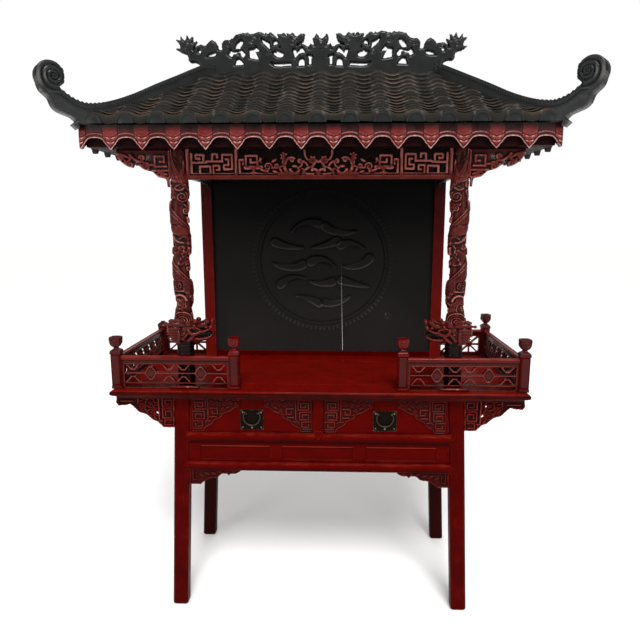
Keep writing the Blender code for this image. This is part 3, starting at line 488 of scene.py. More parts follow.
class Carving:
    """A carved face as heights over a grid; ridges and cuts are drawn on it, then it becomes a board."""

    def __init__(self, u, v, cell, columns=None):
        count = [max(2, round((high - low) / cell) + 1) for low, high in (u, v)]
        self.count = (columns or count[0], count[1])
        self.cell = cell
        self.u, self.v = np.meshgrid(np.linspace(*u, self.count[0]), np.linspace(*v, self.count[1]))
        self.h = np.zeros_like(self.u)
        self.s = np.full_like(self.u, FAR)
        self.outer = self.s
        self.tint = np.zeros_like(self.u)

    def window(self, points, reach):
        """The part of the grid within reach of some points, or None."""
        pts = np.array(points)
        low, high = pts.min(0) - reach, pts.max(0) + reach
        rows = np.where((self.v[:, 0] >= low[1]) & (self.v[:, 0] <= high[1]))[0]
        columns = np.where((self.u[0] >= low[0]) & (self.u[0] <= high[0]))[0]
        if not len(rows) or not len(columns):
            return None
        return slice(rows[0], rows[-1] + 1), slice(columns[0], columns[-1] + 1)

    def depth(self, loops):
        """Depth inside closed loops, negative outside, and no more than FAR."""
        found = np.full_like(self.u, FAR)
        odd = np.zeros(self.u.shape, bool)
        for loop in loops:
            for a, b in zip(loop, list(loop[1:]) + [loop[0]]):
                spot = self.window([a, b], FAR)
                if spot is not None:
                    found[spot] = np.minimum(found[spot], near(self.u[spot], self.v[spot], [a, b]))
                rows = np.where((self.v[:, 0] >= min(a[1], b[1])) & (self.v[:, 0] < max(a[1], b[1])))[0]
                if len(rows):
                    across = a[0] + (self.v[rows, :1] - a[1]) * (b[0] - a[0]) / (b[1] - a[1])
                    odd[rows] ^= self.u[rows] < across
        return np.where(odd, found, -found)

    def shape(self, loops):
        """Cuts the board to loops: the longest is its outer edge and the rest are openings."""
        longest = max(loops, key=lambda loop: max(p[0] for p in loop) - min(p[0] for p in loop))
        self.outer = self.depth([longest])
        self.s = self.depth(loops)

    def ridge(self, points, half, height, base=0.0, closed=False, flat=0.0, solid=False):
        """A rounded strand along a line; flat widens its top, and solid carries it across openings."""
        spot = self.window(points, half + self.cell)
        if spot is None:
            return
        away = near(self.u[spot], self.v[spot], points, closed)
        d = np.clip((away - flat * half) / (half * (1 - flat)), 0, 1)
        self.raise_to(spot, d, height, base)
        if solid:
            self.s[spot] = np.minimum(self.outer[spot], np.maximum(self.s[spot], half - away))

    def raise_to(self, spot, d, height, base):
        """Raises the spot to a round over base, where d runs from 0 at its middle to 1 at its edge."""
        self.h[spot] = np.maximum(self.h[spot], np.where(d < 1, base + height * dome(d), -1))

    def cut(self, points, half, depth, closed=False):
        """A round groove along a line."""
        spot = self.window(points, half)
        if spot is not None:
            self.h[spot] -= depth * dome(np.clip(near(self.u[spot], self.v[spot], points, closed) / half, 0,
                                                 1))

    def bead(self, x, z, long, wide, height, lean=0.0, base=0.0):
        """A rounded button or leaf."""
        spot = self.window([(x, z)], max(long, wide))
        if spot is None:
            return
        c, s = math.cos(math.radians(lean)), math.sin(math.radians(lean))
        u, v = self.u[spot] - x, self.v[spot] - z
        self.raise_to(spot, np.hypot((u * c + v * s) / long, (v * c - u * s) / wide), height, base)

    def strand(self, line, half=0.0034, height=0.006, base=-0.0055, flat=0.4):
        """A strand of fretwork that carries itself across openings."""
        self.ridge(line, half, height, base, flat=flat, solid=True)

    def bent_strands(self, side, table):
        """Strands that bow between two ends, on one side of the board."""
        for a, b, sag, half in table:
            self.strand(flip(bow(a, b, sag), side), half)

    def scrolls(self, side, table, half):
        """Strands that curl in on themselves, on one side of the board."""
        for x, z, radius, start, turns in table:
            self.strand(curl(side, x, z, radius, start, turns), half, flat=0.25)

    def round_rim(self, radius, drop):
        """Eases the surface down towards its outline."""
        self.h -= drop * (1 - dome(np.clip(1 - self.s / radius, 0, 1)))

    def raised_rim(self, inset, wide, height, base):
        """A bead that follows the outline."""
        self.h = np.maximum(self.h, base + height * np.sqrt(bump_at(self.s, inset, wide)) * (self.s > -0.001))

    def wear_and_shading(self, reach, scale, deep=0.0):
        """How far each spot stands above (+) or below (-) what surrounds it, as wear and painted shading; a
        ground at deep gets painted shade.
        """
        height = np.where(self.s > -self.cell, self.h, self.h.min() - scale)
        steps = max(1, round(reach / self.cell))
        size = 2 * steps + 1
        mean = height
        for axis in (0, 1):
            padded = np.pad(mean, [(steps + 1, steps) if a == axis else (0, 0) for a in (0, 1)], mode="edge")
            total = np.cumsum(padded, axis)
            upper = np.take(total, range(size, total.shape[axis]), axis)
            lower = np.take(total, range(0, total.shape[axis] - size), axis)
            mean = (upper - lower) / size
        tone = (height - mean) / scale
        if deep:
            tone = tone - 1.2 * np.clip(-self.h / deep, 0, 1) ** 3
        return np.clip(tone, -1, 1)

    def build(self, name, place, back, material, nodes=(), body=ROOT, wear_and_shading=(0.006, 0.0016), angle=50,
              double=False, worn=1.0, rear_shade=-0.3):
        """Makes the board: its carved front, walls down to w = back, and a flat or (double) carved back; a
        flat back and its walls take rear_shade, a painted shade.
        """
        gv, gu = np.gradient(self.s, self.v[1, 0] - self.v[0, 0], self.u[0, 1] - self.u[0, 0])
        size = np.maximum(gu * gu + gv * gv, 0.05)
        shift_in = np.where(np.abs(self.s) < 0.55 * self.cell, self.s, 0) / size
        u, v = self.u - shift_in * gu, self.v - shift_in * gv
        tone = self.wear_and_shading(*wear_and_shading)
        # worn sets how pale the ridges get, wear and painted highlight alike; the tint brings each piece's
        # painted highlights and shades with its other tones
        tone = np.clip(np.where(tone > 0, tone * worn, tone) + self.tint, -1, 1)
        bm = bmesh.new()
        layer = bm.verts.layers.float.new("wear_and_shading")
        gone = []
        for vert, i, j in sheet(bm, *self.count):
            if self.s[j, i] < -0.55 * self.cell:
                gone.append(vert)
            vert.co = place(u[j, i], v[j, i], self.h[j, i])
            vert[layer] = tone[j, i]
        lost = set(gone)
        for face in bm.faces[:]:
            kept = [v for v in face.verts if v not in lost]
            if len(kept) == 3:
                bm.faces.new(kept)
        bmesh.ops.delete(bm, geom=gone, context="VERTS")
        bmesh.ops.delete(bm, geom=[e for e in bm.edges if not e.link_faces], context="EDGES")
        bmesh.ops.delete(bm, geom=[x for x in bm.verts if not x.link_faces], context="VERTS")
        flat = Vector(place(0, 0, back))
        out = (Vector(place(0, 0, back + 1)) - flat).normalized()
        if double:
            grown = bmesh.ops.extrude_face_region(bm, geom=bm.faces[:])
            for vert in pick(grown, bmesh.types.BMVert):
                vert.co -= out * (2 * (vert.co - flat).dot(out) + back)
        else:
            edges = open_edges(bm.edges)
            for share in (0.10, 1.0):
                grown = bmesh.ops.extrude_edge_only(bm, edges=edges)
                for vert in pick(grown, bmesh.types.BMVert):
                    vert.co -= out * share * (vert.co - flat).dot(out)
                    vert[layer] = rear_shade
                edges = open_edges(pick(grown, bmesh.types.BMEdge))
            bmesh.ops.triangle_fill(bm, use_beauty=False, edges=edges, normal=out)
        return settle(name, bm, material, nodes, body, angle)


def front_of(y):
    """Board facing -Y whose face is at that Y: (x, z, height) to a place."""
    return lambda u, v, w: (u, y - w, v)


def side_of(x, sign):
    """Board facing +X or -X: (y, z, height) to a place."""
    return lambda u, v, w: (x + sign * w, u, v)


def front_board(node, cell, corner=50, margin=0.0, warp=tuple):
    """A carving cut to the (warped) outline of a CAD board that faces -Y; it knows that board's box."""
    low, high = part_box(node)
    c = Carving((low.x - margin, high.x + margin), (low.z - margin, high.z + margin), cell)
    loops = outline_of(node, lambda p: (p[0], p[2]), (0, -1, 0))
    c.shape([soften([warp(p) for p in loop], corner) for loop in loops])
    c.low, c.high = low, high
    return c


# ---------- eaves ----------

HALF_X, HALF_Y = 0.775, 0.311    # half of the eaves' run, from corner drip to corner drip
PERIOD_X, PERIOD_Y = 1.55 / 15, 0.622 / 6
TIP_Z, EAVE_Z = 1.678, 1.757
SIDE_REACH = 0.2945              # the side eave boards end inside the front and back ones
HALF_DRIP = [(0, TIP_Z), (0.05, 1.6835), (0.105, 1.6902), (0.160, 1.6966), (0.195, 1.7016), (0.226, 1.7062),
    (0.26, 1.7102), (0.30, 1.7132), (0.35, 1.7152), (0.42, 1.7166), (0.5, 1.7172)]
PETALS = (1.780, 1.7203, 1.7062, 1.650)


def eave_edge(half, period, first, last):
    """The wavy lower edge from one place along the eave to another."""
    one = HALF_DRIP + [(1 - x, z) for x, z in reversed(HALF_DRIP[1:-1])]
    count = round(2 * half / period)
    line = [(-half + period * (k + x), z) for k in range(count) for x, z in one] + [(half, TIP_Z)]
    return [p for p in line if first - 1e-6 < p[0] < last + 1e-6]


def make_fascia(name, half, period, reach, place):
    """An eave board: pointed drips under a moulded lip, with a shield of three petals on each drip."""
    c = Carving((-reach, reach), (TIP_Z, EAVE_Z), 0.0020)
    edge = eave_edge(half, period, -reach, reach)
    lip = [(-reach, edge[0][1])] + edge + [(reach, edge[-1][1])]
    c.shape([[(-reach, EAVE_Z)] + lip + [(reach, EAVE_Z)]])
    away = np.full_like(c.u, 0.03)
    for a, b in zip(lip, lip[1:]):
        spot = c.window([a, b], 0.03)
        away[spot] = np.minimum(away[spot], near(c.u[spot], c.v[spot], [a, b]))
    part = (np.mod(c.u + half, period) + period / 2) % period - period / 2
    off = np.abs(part)
    inside = np.minimum(0.0245 - off, away - 0.0058)
    shield = np.clip(inside / 0.0012 + 0.5, 0, 1)
    # dark: the upper band under the eaves, where a painted shadow deepens upwards
    dark = step_up(c.v, 1.7340, 0.0170)
    for middle, wide, tall in ((0.0019, 0.0018, 0.0016), (0.0130, 0.0018, 0.0015)):
        line = dome((away - middle) / wide) * np.where(away > 0.006, 1 - shield, 1)
        c.h += tall * line
        # the rim lines are paler: worn lips and painted highlight
        c.tint += 0.22 * line * (1 - dark)
    c.h -= 0.0012 * bump_at(inside, 0, 0.0016) * (1 - dark)
    c.h += 0.0010 * shield * dome(part / 0.034) * (1 - dark)
    c.tint += 0.17 * shield - 0.17 * (1 - shield) * (away > 0.005)
    # painted shade along the groove inside each shield's rim
    c.tint -= 0.40 * bump_at(inside, 0.0018, 0.0024)
    dip = c.v - 17.0 * part * part
    # glint: a painted highlight on each petal just below the lip above it, brightest to either side
    glint = 0.35 + 0.65 * np.exp(-((off - 0.0095) / 0.0050) ** 2)
    for upper, lower in zip(PETALS, PETALS[1:]):
        share = (dip - lower) / (upper - lower)
        fall = np.clip(1 - (dip - lower) / 0.012, 0, 1)
        c.h += np.where((share > 0) & (share <= 1), 0.0018 * shield * fall ** 2, 0)
        c.tint += 0.85 * shield * glint * bump_at(dip - lower, -0.0058, 0.0040)
        # painted shade just over each lip, and a painted shadow cast just under it
        c.tint -= 0.25 * shield * bump_at(dip - lower, 0.0020, 0.0030)
        c.tint -= 0.62 * shield * bump_at(dip - lower, -0.0010, 0.0020)
    # painted shadow of the eaves over the upper band
    c.tint -= 0.60 * dark
    # the deep ground takes painted shade, and the back and walls a darker painted shade through rear_shade
    c.build(name, place, -0.016, CARVED_LIPS, [name], wear_and_shading=(0.005, 0.0016, 0.0060), rear_shade=-0.9, worn=0.85)


def make_fascias():
    low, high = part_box("fascia_front")
    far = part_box("fascia_back")[1].y
    make_fascia("fascia_front", HALF_X, PERIOD_X, high.x, front_of(low.y))
    make_fascia("fascia_back", HALF_X, PERIOD_X, high.x, lambda u, v, w: (-u, far + w, v))
    for side, sign in SIDES.items():
        x = max((corner.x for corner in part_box(f"fascia_{side}")), key=abs)
        make_fascia(f"fascia_{side}", HALF_Y, PERIOD_Y, SIDE_REACH, side_of(x, sign))


# ---------- roof ----------

RIDGE_END, EAVE_RUN_X, EAVE_RUN_Y = 0.405, 0.3783, 0.318
COURSES = 13
HIP_THICK = 0.0263
SLOPE_THICK = 0.0255
POINTS_PER_DRIP = 14
# along each tile: how far down it, how much it lifts from the one below, and its wear_and_shading: painted
# shade just below the lip of the tile above, worn to brown at its own lip
TILE_STEPS = ((0.03, 0.0, -0.8), (0.35, 0.35, -0.1), (0.75, 0.8, 0.1), (0.93, 1.0, 0.95), (1.0, 0.72, 0.55))
# rings of a round tile's end: radius, how far out, and wear_and_shading: painted shade at the back and in the
# groove inside the rim, painted highlight on the rim
END_RINGS = ((0.0290, -0.0060, -0.6), (0.0290, 0.0000, 0.0), (0.0282, 0.0010, 0.26), (0.0270, 0.0012, 0.22),
             (0.0258, 0.0004, -0.3), (0.0240, 0.0000, -0.15), (0.0150, 0.0014, 0.05), (0.0060, 0.0020, 0.1))
TILE_END_Z, TILE_END_OUT = 1.7605, 0.0015


def tile_z(share):
    """Height of the tiles' bed from the ridge (0) to the eave (1)."""
    return 2.002 - 0.285 * share + 0.070 * share * share


def make_slope(name, half, run, out, period, drips_half, head, place, hips):
    """Tiles laid in courses: wide hollows run down over the drips and round backs over the arches."""
    along = np.linspace(-half, half, int(2 * half / period * POINTS_PER_DRIP))
    rows = [(k, *step) for k in range(COURSES) for step in TILE_STEPS]
    phase = (along + drips_half) / period
    wave = -np.cos(2 * math.pi * phase)
    column = np.floor(phase * 2 + 0.5)
    bm = bmesh.new()
    layer = bm.verts.layers.float.new("wear_and_shading")
    for vert, i, j in sheet(bm, len(along), len(rows)):
        k, share, lift, worn = rows[j]
        jitter = ripple(k, column[i])
        scallop = -0.26 * wave[i] * (0.3 + 0.7 * share) if 0 < k + share < COURSES else 0
        t = head + (1 - head) * min(max((k + share + scallop + 0.09 * jitter * share) / COURSES, 0), 1)
        back = 0.5 + 0.5 * wave[i]
        swell = (0.0042 + 0.0022 * t) * wave[i]
        z = tile_z(t) + swell + lift * (0.0056 + 0.0016 * jitter) * (1 - 0.38 * back) - 0.0005
        vert.co = place(along[i], out + run * t, z)
        rubbed = 0.62 + 0.26 * jitter + 0.22 * ripple(column[i], 9)
        vert[layer] = worn * rubbed * (1 - 0.50 * back) + 0.06 * back
    for end, across, ahead in hips:
        away = Vector((across * EAVE_RUN_Y, ahead * EAVE_RUN_X, 0)) / math.hypot(EAVE_RUN_X, EAVE_RUN_Y)
        bmesh.ops.bisect_plane(bm, geom=bm.verts[:] + bm.edges[:] + bm.faces[:], plane_no=away,
                               clear_outer=True,
                               plane_co=Vector((end * RIDGE_END, 0, 0)) - away * HIP_THICK, dist=1e-6)
    grown = bmesh.ops.extrude_edge_only(bm, edges=open_edges(bm.edges))
    for vert in pick(grown, bmesh.types.BMVert):
        vert.co.z -= SLOPE_THICK
        # the cut edges of the slope take painted shade
        vert[layer] = -0.3
    filled = bmesh.ops.holes_fill(bm, edges=open_edges(pick(grown, bmesh.types.BMEdge)), sides=0)["faces"]
    bmesh.ops.triangulate(bm, faces=filled)
    settle(name, bm, TILES, [name], angle=40)


def make_slopes():
    for name, turn in (("front", 1), ("back", -1)):
        make_slope(f"roof_slope_{name}", RIDGE_END + EAVE_RUN_X, EAVE_RUN_Y, 0.0, PERIOD_X, HALF_X, 0.049,
                   lambda e, o, z, t=turn: (e * t, -o * t, z), [(-1, -1, turn), (1, 1, turn)])
    for side, sign in SIDES.items():
        make_slope(f"roof_slope_{side}", EAVE_RUN_Y, EAVE_RUN_X, RIDGE_END, PERIOD_Y, HALF_Y, 0.11,
                   lambda e, o, z, s=sign: (s * o, s * e, z), [(sign, -sign, -1), (sign, -sign, 1)])


def make_tile_ends():
    """Round tile ends along all four eaves, one over each arch: half a disc with a thin raised rim."""
    out_y, out_x = EAVE_RUN_Y + TILE_END_OUT, RIDGE_END + EAVE_RUN_X + TILE_END_OUT
    for name, half, period, place in (
            ("front", HALF_X, PERIOD_X, lambda e, w, z: (e, -(out_y + w), z)),
            ("back", HALF_X, PERIOD_X, lambda e, w, z: (-e, out_y + w, z)),
            ("left", HALF_Y, PERIOD_Y, lambda e, w, z: (-(out_x + w), e, z)),
            ("right", HALF_Y, PERIOD_Y, lambda e, w, z: (out_x + w, e, z))):
        bm = bmesh.new()
        bm.verts.layers.float.new("wear_and_shading")
        for k in range(round(2 * half / period)):
            middle = -half + period * (k + 0.5)
            rings = []
            for radius, out, _ in END_RINGS:
                turns = [math.pi * step / 16 for step in range(17)]
                rings.append([place(middle + radius * math.cos(a), out,
                                    TILE_END_Z + 1.06 * radius * math.sin(a))
                              for a in turns])
            loft(bm, rings, [tone for _, _, tone in END_RINGS])
        settle(f"tile_ends_{name}", bm, SATIN, angle=35)


COIL_U, COIL_V = 0.5495, 1.8945  # the middle of a hip's scroll


def make_hip(node, end, sign):
    """A hip ridge with a rope along its top, which rolls up into a scroll over the corner of the eaves."""
    run = Vector((sign * 0.37, end * 0.311, 0)).normalized()
    side = Vector((0, 0, 1)).cross(run)
    start = Vector((sign * RIDGE_END, 0, 0))
    loops = outline_of(node, lambda p: ((Vector(p) - start).dot(run), p[2]), tuple(side))
    loop = soften(loops[0], 42, 4)
    us, vs = [p[0] for p in loop], [p[1] for p in loop]
    c = Carving((min(us), max(us)), (min(vs), max(vs)), 0.0023)
    c.shape([loop])
    top = np.where((c.s > 0) & ((c.u < 0.49) | (c.v < 1.862)), c.v, -1).max(0)[None, :]
    band = top - c.v
    neck = step_up(c.u, 0.400, 0.02) * np.clip((0.530 - c.u) / 0.006, 0, 1)
    c.s += 0.0017 * neck * np.sin(2 * math.pi * c.u / 0.0130) * (band < 0.012)
    c.round_rim(0.005, 0.0030)
    reach = np.hypot(c.u - COIL_U, c.v - COIL_V)
    around = np.arctan2(c.v - COIL_V, c.u - COIL_U)
    roll = np.clip((0.0640 - reach) / 0.004, 0, 1) * np.clip((c.u - 0.500 + (c.v - 1.850) * 0.5) / 0.01, 0, 1)
    roll *= (c.v > 1.846)
    wind = (np.log(1 + reach / 0.018) / 0.335 + around / (2 * math.pi) - 0.267) % 1
    coil = dome(2 * wind - 1)
    c.h += roll * (0.0060 * coil - 0.0052)
    # lit: a painted highlight streaking the outer turns of the scroll; the grooves between the turns get
    # painted shade
    lit = 0.9 * np.clip(np.cos(around + 0.15), 0, 1) ** 6 * (reach > 0.022) * coil ** 6
    c.tint += roll * (lit - 0.15 * (1 - coil))
    along = (1 - roll) * np.clip((0.560 - c.u) / 0.02, 0, 1)
    rope = bump_at(band, 0.0080, 0.0050) * along
    twist = np.sin(2 * math.pi * (c.u - np.abs(band - 0.0080) * 0.9) / 0.0090)
    c.h += rope * (0.0010 + 0.0012 * twist)
    c.tint += 0.34 * rope * twist
    c.h -= 0.0016 * bump_at(band, 0.0155, 0.0018) * along
    c.h += 0.0010 * dome((band - 0.030) / 0.012) * along

    def place(u, v, w):
        spot = start + run * u + side * (w + 0.026)
        return spot.x, spot.y, v
    c.build(node, place, -0.052, SATIN, [node], wear_and_shading=(0.006, 0.0030), angle=70, double=True, worn=0.3)


CREST_NOTCH = [(-0.01, 2.13), (-0.006, 2.107), (0.004, 2.102), (0.013, 2.108), (0.016, 2.13)]
# curls of haunches and manes: x, z, radius, start and turns
CREST_CURLS = [(0.1, 2.085, 0.014, 90, 1.3), (0.245, 2.095, 0.018, 60, -1.4),
    (0.335, 2.083, 0.013, 180, 1.3), (0.428, 2.07, 0.01, 0, -1.2), (0.187, 2.052, 0.01, 200, 1.3),
    (0.49, 2.075, 0.014, 30, 1.4)]
# licks of flame and claws: where each starts, and its run
CREST_FLAMES = [(0.068, 2.108, -0.006, 0.003), (0.1, 2.112, 0.004, 0.012), (0.116, 2.11, 0.007, 0.012),
    (0.131, 2.112, 0.008, 0.011), (0.146, 2.108, 0.013, 0.012), (0.157, 2.098, 0.014, 0.006),
    (0.2, 2.112, -0.003, 0.012), (0.262, 2.114, 0.006, 0.01), (0.3, 2.108, 0.01, 0.01),
    (0.392, 2.09, 0.006, 0.011), (0.045, 2.07, -0.008, 0.01), (0.03, 2.072, -0.01, 0.012),
    (0.15, 2.064, 0.014, 0.004), (0.296, 2.052, 0.012, -0.006), (0.415, 2.05, 0.01, -0.004)]


def flame(c, line, half):
    """A lick of flame or a claw: a line that narrows to a point and stands clear of the outline."""
    for i in range(len(line) - 1):
        c.ridge(line[i:i + 2], half * (1 - 0.55 * i / (len(line) - 1)), 0.008, -0.004, solid=True)


def make_crest():
    """Two dragons and a pearl on the ridge: scaled coils, haunches that curl, ragged manes and flames."""
    c = front_board("crest", 0.0021, corner=60, margin=0.004)
    air = step_up(c.v, 2.040, 0.012)
    ragged = np.sin(c.u * 890 + 3 * np.sin(c.v * 260)) * np.sin(c.v * 810 + 2 * np.sin(c.u * 310))
    c.s = np.minimum(c.s + 0.0014 * ragged * air, FAR)
    c.s = np.minimum(c.s, -c.depth([CREST_NOTCH]))
    c.outer = np.full_like(c.s, 0.005)
    c.h = -0.007 + 0.012 * dome(1 - np.clip(c.s, 0, 0.011) / 0.011)
    c.h += 0.0008 * scales(c.u / 0.0100, c.v / 0.0060) * air * np.clip(c.s / 0.003, 0, 1)
    for side in (-1, 1):
        for row in CREST_CURLS:
            c.ridge(curl(side, *row, inner=0.2), 0.0028, 0.0030, 0.0045)
        for x, z, dx, dz in CREST_FLAMES:
            flame(c, flip(bow((x, z), (x + 0.66 * dx, z + 0.66 * dz), 0.002, 4), side), 0.0052)
    flame(c, bow((-0.014, 2.096), (-0.014, 2.113), 0.002, 4), 0.0074)
    flame(c, bow((0.020, 2.096), (0.022, 2.114), -0.002, 4), 0.0074)
    c.bead(0, 2.078, 0.014, 0.014, 0.0060, base=0.004)
    c.tint += 0.14
    c.build("crest", front_of(-0.010), -0.020, SATIN, ["crest"], wear_and_shading=(0.006, 0.0050), double=True, worn=0.25)


# ---------- carved boards of the shrine and the table ----------

GROUND = -0.0065                 # depth of a pierced board's ground below its face
FRIEZE_FRETS = [((0.431, 1.612), (0.431, 1.646), (0.38, 1.646)), ((0.431, 1.676), (0.431, 1.646)),
    ((0.389, 1.646), (0.389, 1.672), (0.415, 1.672), (0.415, 1.659), (0.402, 1.659)), ((0.401, 1.612),
    (0.401, 1.634), (0.366, 1.634), (0.366, 1.612)), ((0.38, 1.646), (0.38, 1.65), (0.326, 1.65)),
    ((0.359, 1.65), (0.359, 1.674), (0.342, 1.674), (0.342, 1.662)), ((0.356, 1.612), (0.356, 1.636),
    (0.336, 1.636), (0.336, 1.622), (0.345, 1.622)), ((0.325, 1.65), (0.325, 1.672), (0.292, 1.672),
    (0.292, 1.625), (0.32, 1.625), (0.32, 1.638), (0.304, 1.638), (0.304, 1.657), (0.314, 1.657)),
    ((0.267, 1.612), (0.267, 1.655), (0.255, 1.655), (0.255, 1.64)), ((0.245, 1.634), (0.245, 1.668),
    (0.207, 1.668), (0.207, 1.646), (0.229, 1.646), (0.229, 1.657))]
FRIEZE_SCROLLS = [(0.17, 1.632, 0.014, 190, -1.4), (0.0245, 1.653, 0.0115, 90, 1.4),
    (0.088, 1.655, 0.009, 150, -1.3), (0.062, 1.652, 0.008, 230, 1.2), (0.14, 1.634, 0.008, -30, 1.2)]
# stems and hooks: two ends, how far it bows, and half its width
FRIEZE_STEMS = [((0.198, 1.628), (0.172, 1.618), 0.003, 0.0048), ((0.156, 1.628), (0.112, 1.64), 0.004,
    0.004), ((0.116, 1.66), (0.104, 1.612), 0.006, 0.0062), ((0.112, 1.642), (0.092, 1.662), -0.005,
    0.0044), ((0.132, 1.609), (0.074, 1.609), 0.0, 0.0064), ((0.096, 1.622), (0.064, 1.622), 0.014, 0.0056),
    ((0.07, 1.628), (0.054, 1.646), 0.004, 0.004), ((0.054, 1.65), (0.036, 1.636), -0.003, 0.0044),
    ((0.006, 1.652), (0.021, 1.62), 0.005, 0.0052), ((0.021, 1.624), (0.0, 1.606), -0.007, 0.0052),
    ((0.021, 1.632), (0.052, 1.61), 0.006, 0.0046), ((0.052, 1.612), (0.018, 1.606), 0.0, 0.0036),
    ((0.014, 1.664), (0.002, 1.648), 0.003, 0.0036), ((0.036, 1.655), (0.046, 1.686), -0.004, 0.004)]
FRIEZE_LEAVES = [(0.08, 1.634, 0), (0.052, 1.622, 50), (0.15, 1.652, 150), (0.146, 1.616, 20),
    (0.178, 1.658, 20), (0.128, 1.622, 60)]
FLOWER_X, FLOWER_Z = 0.116, 1.667


def make_frieze():
    """Frets at the ends, then a block with hooks, clouds, and mirrored scrolls round a teardrop."""
    c = front_board("frieze", 0.0021)
    c.h[:] = GROUND - 0.004
    for side in (-1, 1):
        for line in FRIEZE_FRETS:
            c.strand(flip(line, side), 0.0042)
        for a, b, half in (((0.279, 1.604), (0.279, 1.690), 0.0055),
                           ((0.4435, 1.604), (0.4435, 1.690), 0.0060),
                           ((0.247, 1.630), (0.192, 1.630), 0.0068)):
            c.strand(flip((a, b), side), half, flat=0.7)
        c.strand(flip(((0.219, 1.610), (0.219, 1.626)), side), 0.0050)
        c.bead(side * 0.219, 1.6115, 0.0130, 0.0050, 0.0050, base=-0.004)
        c.bead(side * 0.196, 1.654, 0.0100, 0.0050, 0.006, side * 70, -0.005)
        c.scrolls(side, FRIEZE_SCROLLS, 0.0036)
        c.bent_strands(side, FRIEZE_STEMS + [((0.204, 1.632), (0.195, 1.657), -0.006, 0.0046)])
        for k in range(6):
            a = math.radians(60 * k + 20)
            x, z = FLOWER_X + 0.0085 * math.cos(a), FLOWER_Z + 0.0085 * math.sin(a)
            c.bead(side * x, z, 0.0062, 0.0044, 0.006, side * math.degrees(a), -0.005)
        c.bead(side * FLOWER_X, FLOWER_Z, 0.005, 0.005, 0.0075, base=-0.004)
        for x, z, lean in FRIEZE_LEAVES:
            c.bead(side * x, z, 0.0105, 0.0050, 0.006, side * lean, -0.005)
    c.strand([(c.low.x, 1.5975), (c.high.x, 1.5975)], 0.0082, flat=0.75)
    c.strand([(c.low.x, 1.6095), (c.high.x, 1.6095)], 0.0022, flat=0.2)
    c.tint += 0.05
    # the deep ground takes painted shade
    c.build("frieze", front_of(c.low.y + 0.001), -0.017, CARVED, ["frieze"], wear_and_shading=(0.008, 0.0040, 0.009),
            angle=60,
            worn=0.78)


WING_NOTCH = [(0.618, 1.648), (0.626, 1.648), (0.6235, 1.638), (0.626, 1.626), (0.614, 1.61), (0.6, 1.605),
    (0.609, 1.625), (0.615, 1.638)]
WING_FRET = [((0.506, 1.684), (0.506, 1.6)), ((0.524, 1.648), (0.524, 1.667), (0.556, 1.667),
    (0.556, 1.634), (0.516, 1.634)), ((0.524, 1.65), (0.538, 1.65)), ((0.512, 1.62), (0.566, 1.62)),
    ((0.556, 1.64), (0.582, 1.64))]
WING_SCROLLS = [(0.586, 1.632, 0.015, 120, -1.4), (0.642, 1.641, 0.014, 90, -1.4),
    (0.532, 1.606, 0.008, 180, 1.1), (0.67, 1.664, 0.01, 60, -1.2), (0.6, 1.662, 0.01, 0, 1.2)]
WING_STEMS = [((0.69, 1.676), (0.64, 1.66), -0.004, 0.0056), ((0.658, 1.654), (0.63, 1.628), 0.008, 0.0056),
    ((0.64, 1.672), (0.596, 1.65), 0.006, 0.0052), ((0.604, 1.64), (0.572, 1.616), 0.008, 0.005),
    ((0.56, 1.608), (0.512, 1.596), 0.003, 0.0052), ((0.548, 1.612), (0.516, 1.606), -0.003, 0.004),
    ((0.512, 1.596), (0.508, 1.572), 0.002, 0.004), ((0.676, 1.66), (0.662, 1.642), 0.003, 0.0046)]


def make_upper_wings():
    """Two cloud scrolls with a notch between them, a square fret, and a leaf by the column."""
    for side, sign in SIDES.items():
        node = f"upper_wing_{side}"
        c = front_board(node, 0.0019, corner=70)
        notch = -c.depth([flip(WING_NOTCH, sign)])
        c.s = np.minimum(c.s, notch)
        c.outer = np.minimum(c.outer, notch)
        c.h[:] = GROUND
        for line in WING_FRET:
            c.strand(flip(line, sign), 0.0046)
        for z, half in ((1.627, 0.0075), (1.654, 0.0100)):
            c.ridge(flip([(0.524, z), (0.550, z)], sign), half, 0.0005, GROUND, flat=0.9, solid=True)
        c.scrolls(sign, WING_SCROLLS, 0.0042)
        c.bent_strands(sign, WING_STEMS)
        c.round_rim(0.004, 0.003)
        c.tint += 0.01
        # the deep ground takes painted shade
        c.build(node, front_of(c.low.y + 0.0005), -0.0155, CARVED_LIPS, [node], wear_and_shading=(0.008, 0.0040, 0.010),
                angle=60, worn=0.5)


def stretch_wing(p):
    """Draws a table wing's tip a little further out and down, past the plainer solid."""
    share = min(max((abs(p[0]) - 0.600) / 0.115, 0), 1) ** 1.5
    return p[0] + math.copysign(0.0115 * share, p[0]), p[1] - 0.0045 * share * (p[1] < 0.822)


TABLE_WING_FRETS = [((0.528, 0.826), (0.562, 0.826), (0.562, 0.792), (0.528, 0.792), (0.528, 0.818),
    (0.553, 0.818), (0.553, 0.801), (0.538, 0.801)), ((0.528, 0.784), (0.562, 0.784), (0.562, 0.75),
    (0.53, 0.75), (0.53, 0.775), (0.552, 0.775), (0.552, 0.76)), ((0.53, 0.742), (0.556, 0.742),
    (0.556, 0.724), (0.534, 0.724)), ((0.576, 0.826), (0.576, 0.772)), ((0.566, 0.738), (0.576, 0.738),
    (0.576, 0.764)), ((0.65, 0.826), (0.65, 0.806)), ((0.662, 0.826), (0.716, 0.826)), ((0.668, 0.812),
    (0.714, 0.812))]
TABLE_WING_LEAVES = [(0.59, 0.786, 45), (0.622, 0.776, 30), (0.59, 0.748, 40), (0.574, 0.728, 20),
    (0.64, 0.814, 15), (0.63, 0.822, 10), (0.64, 0.78, 30)]


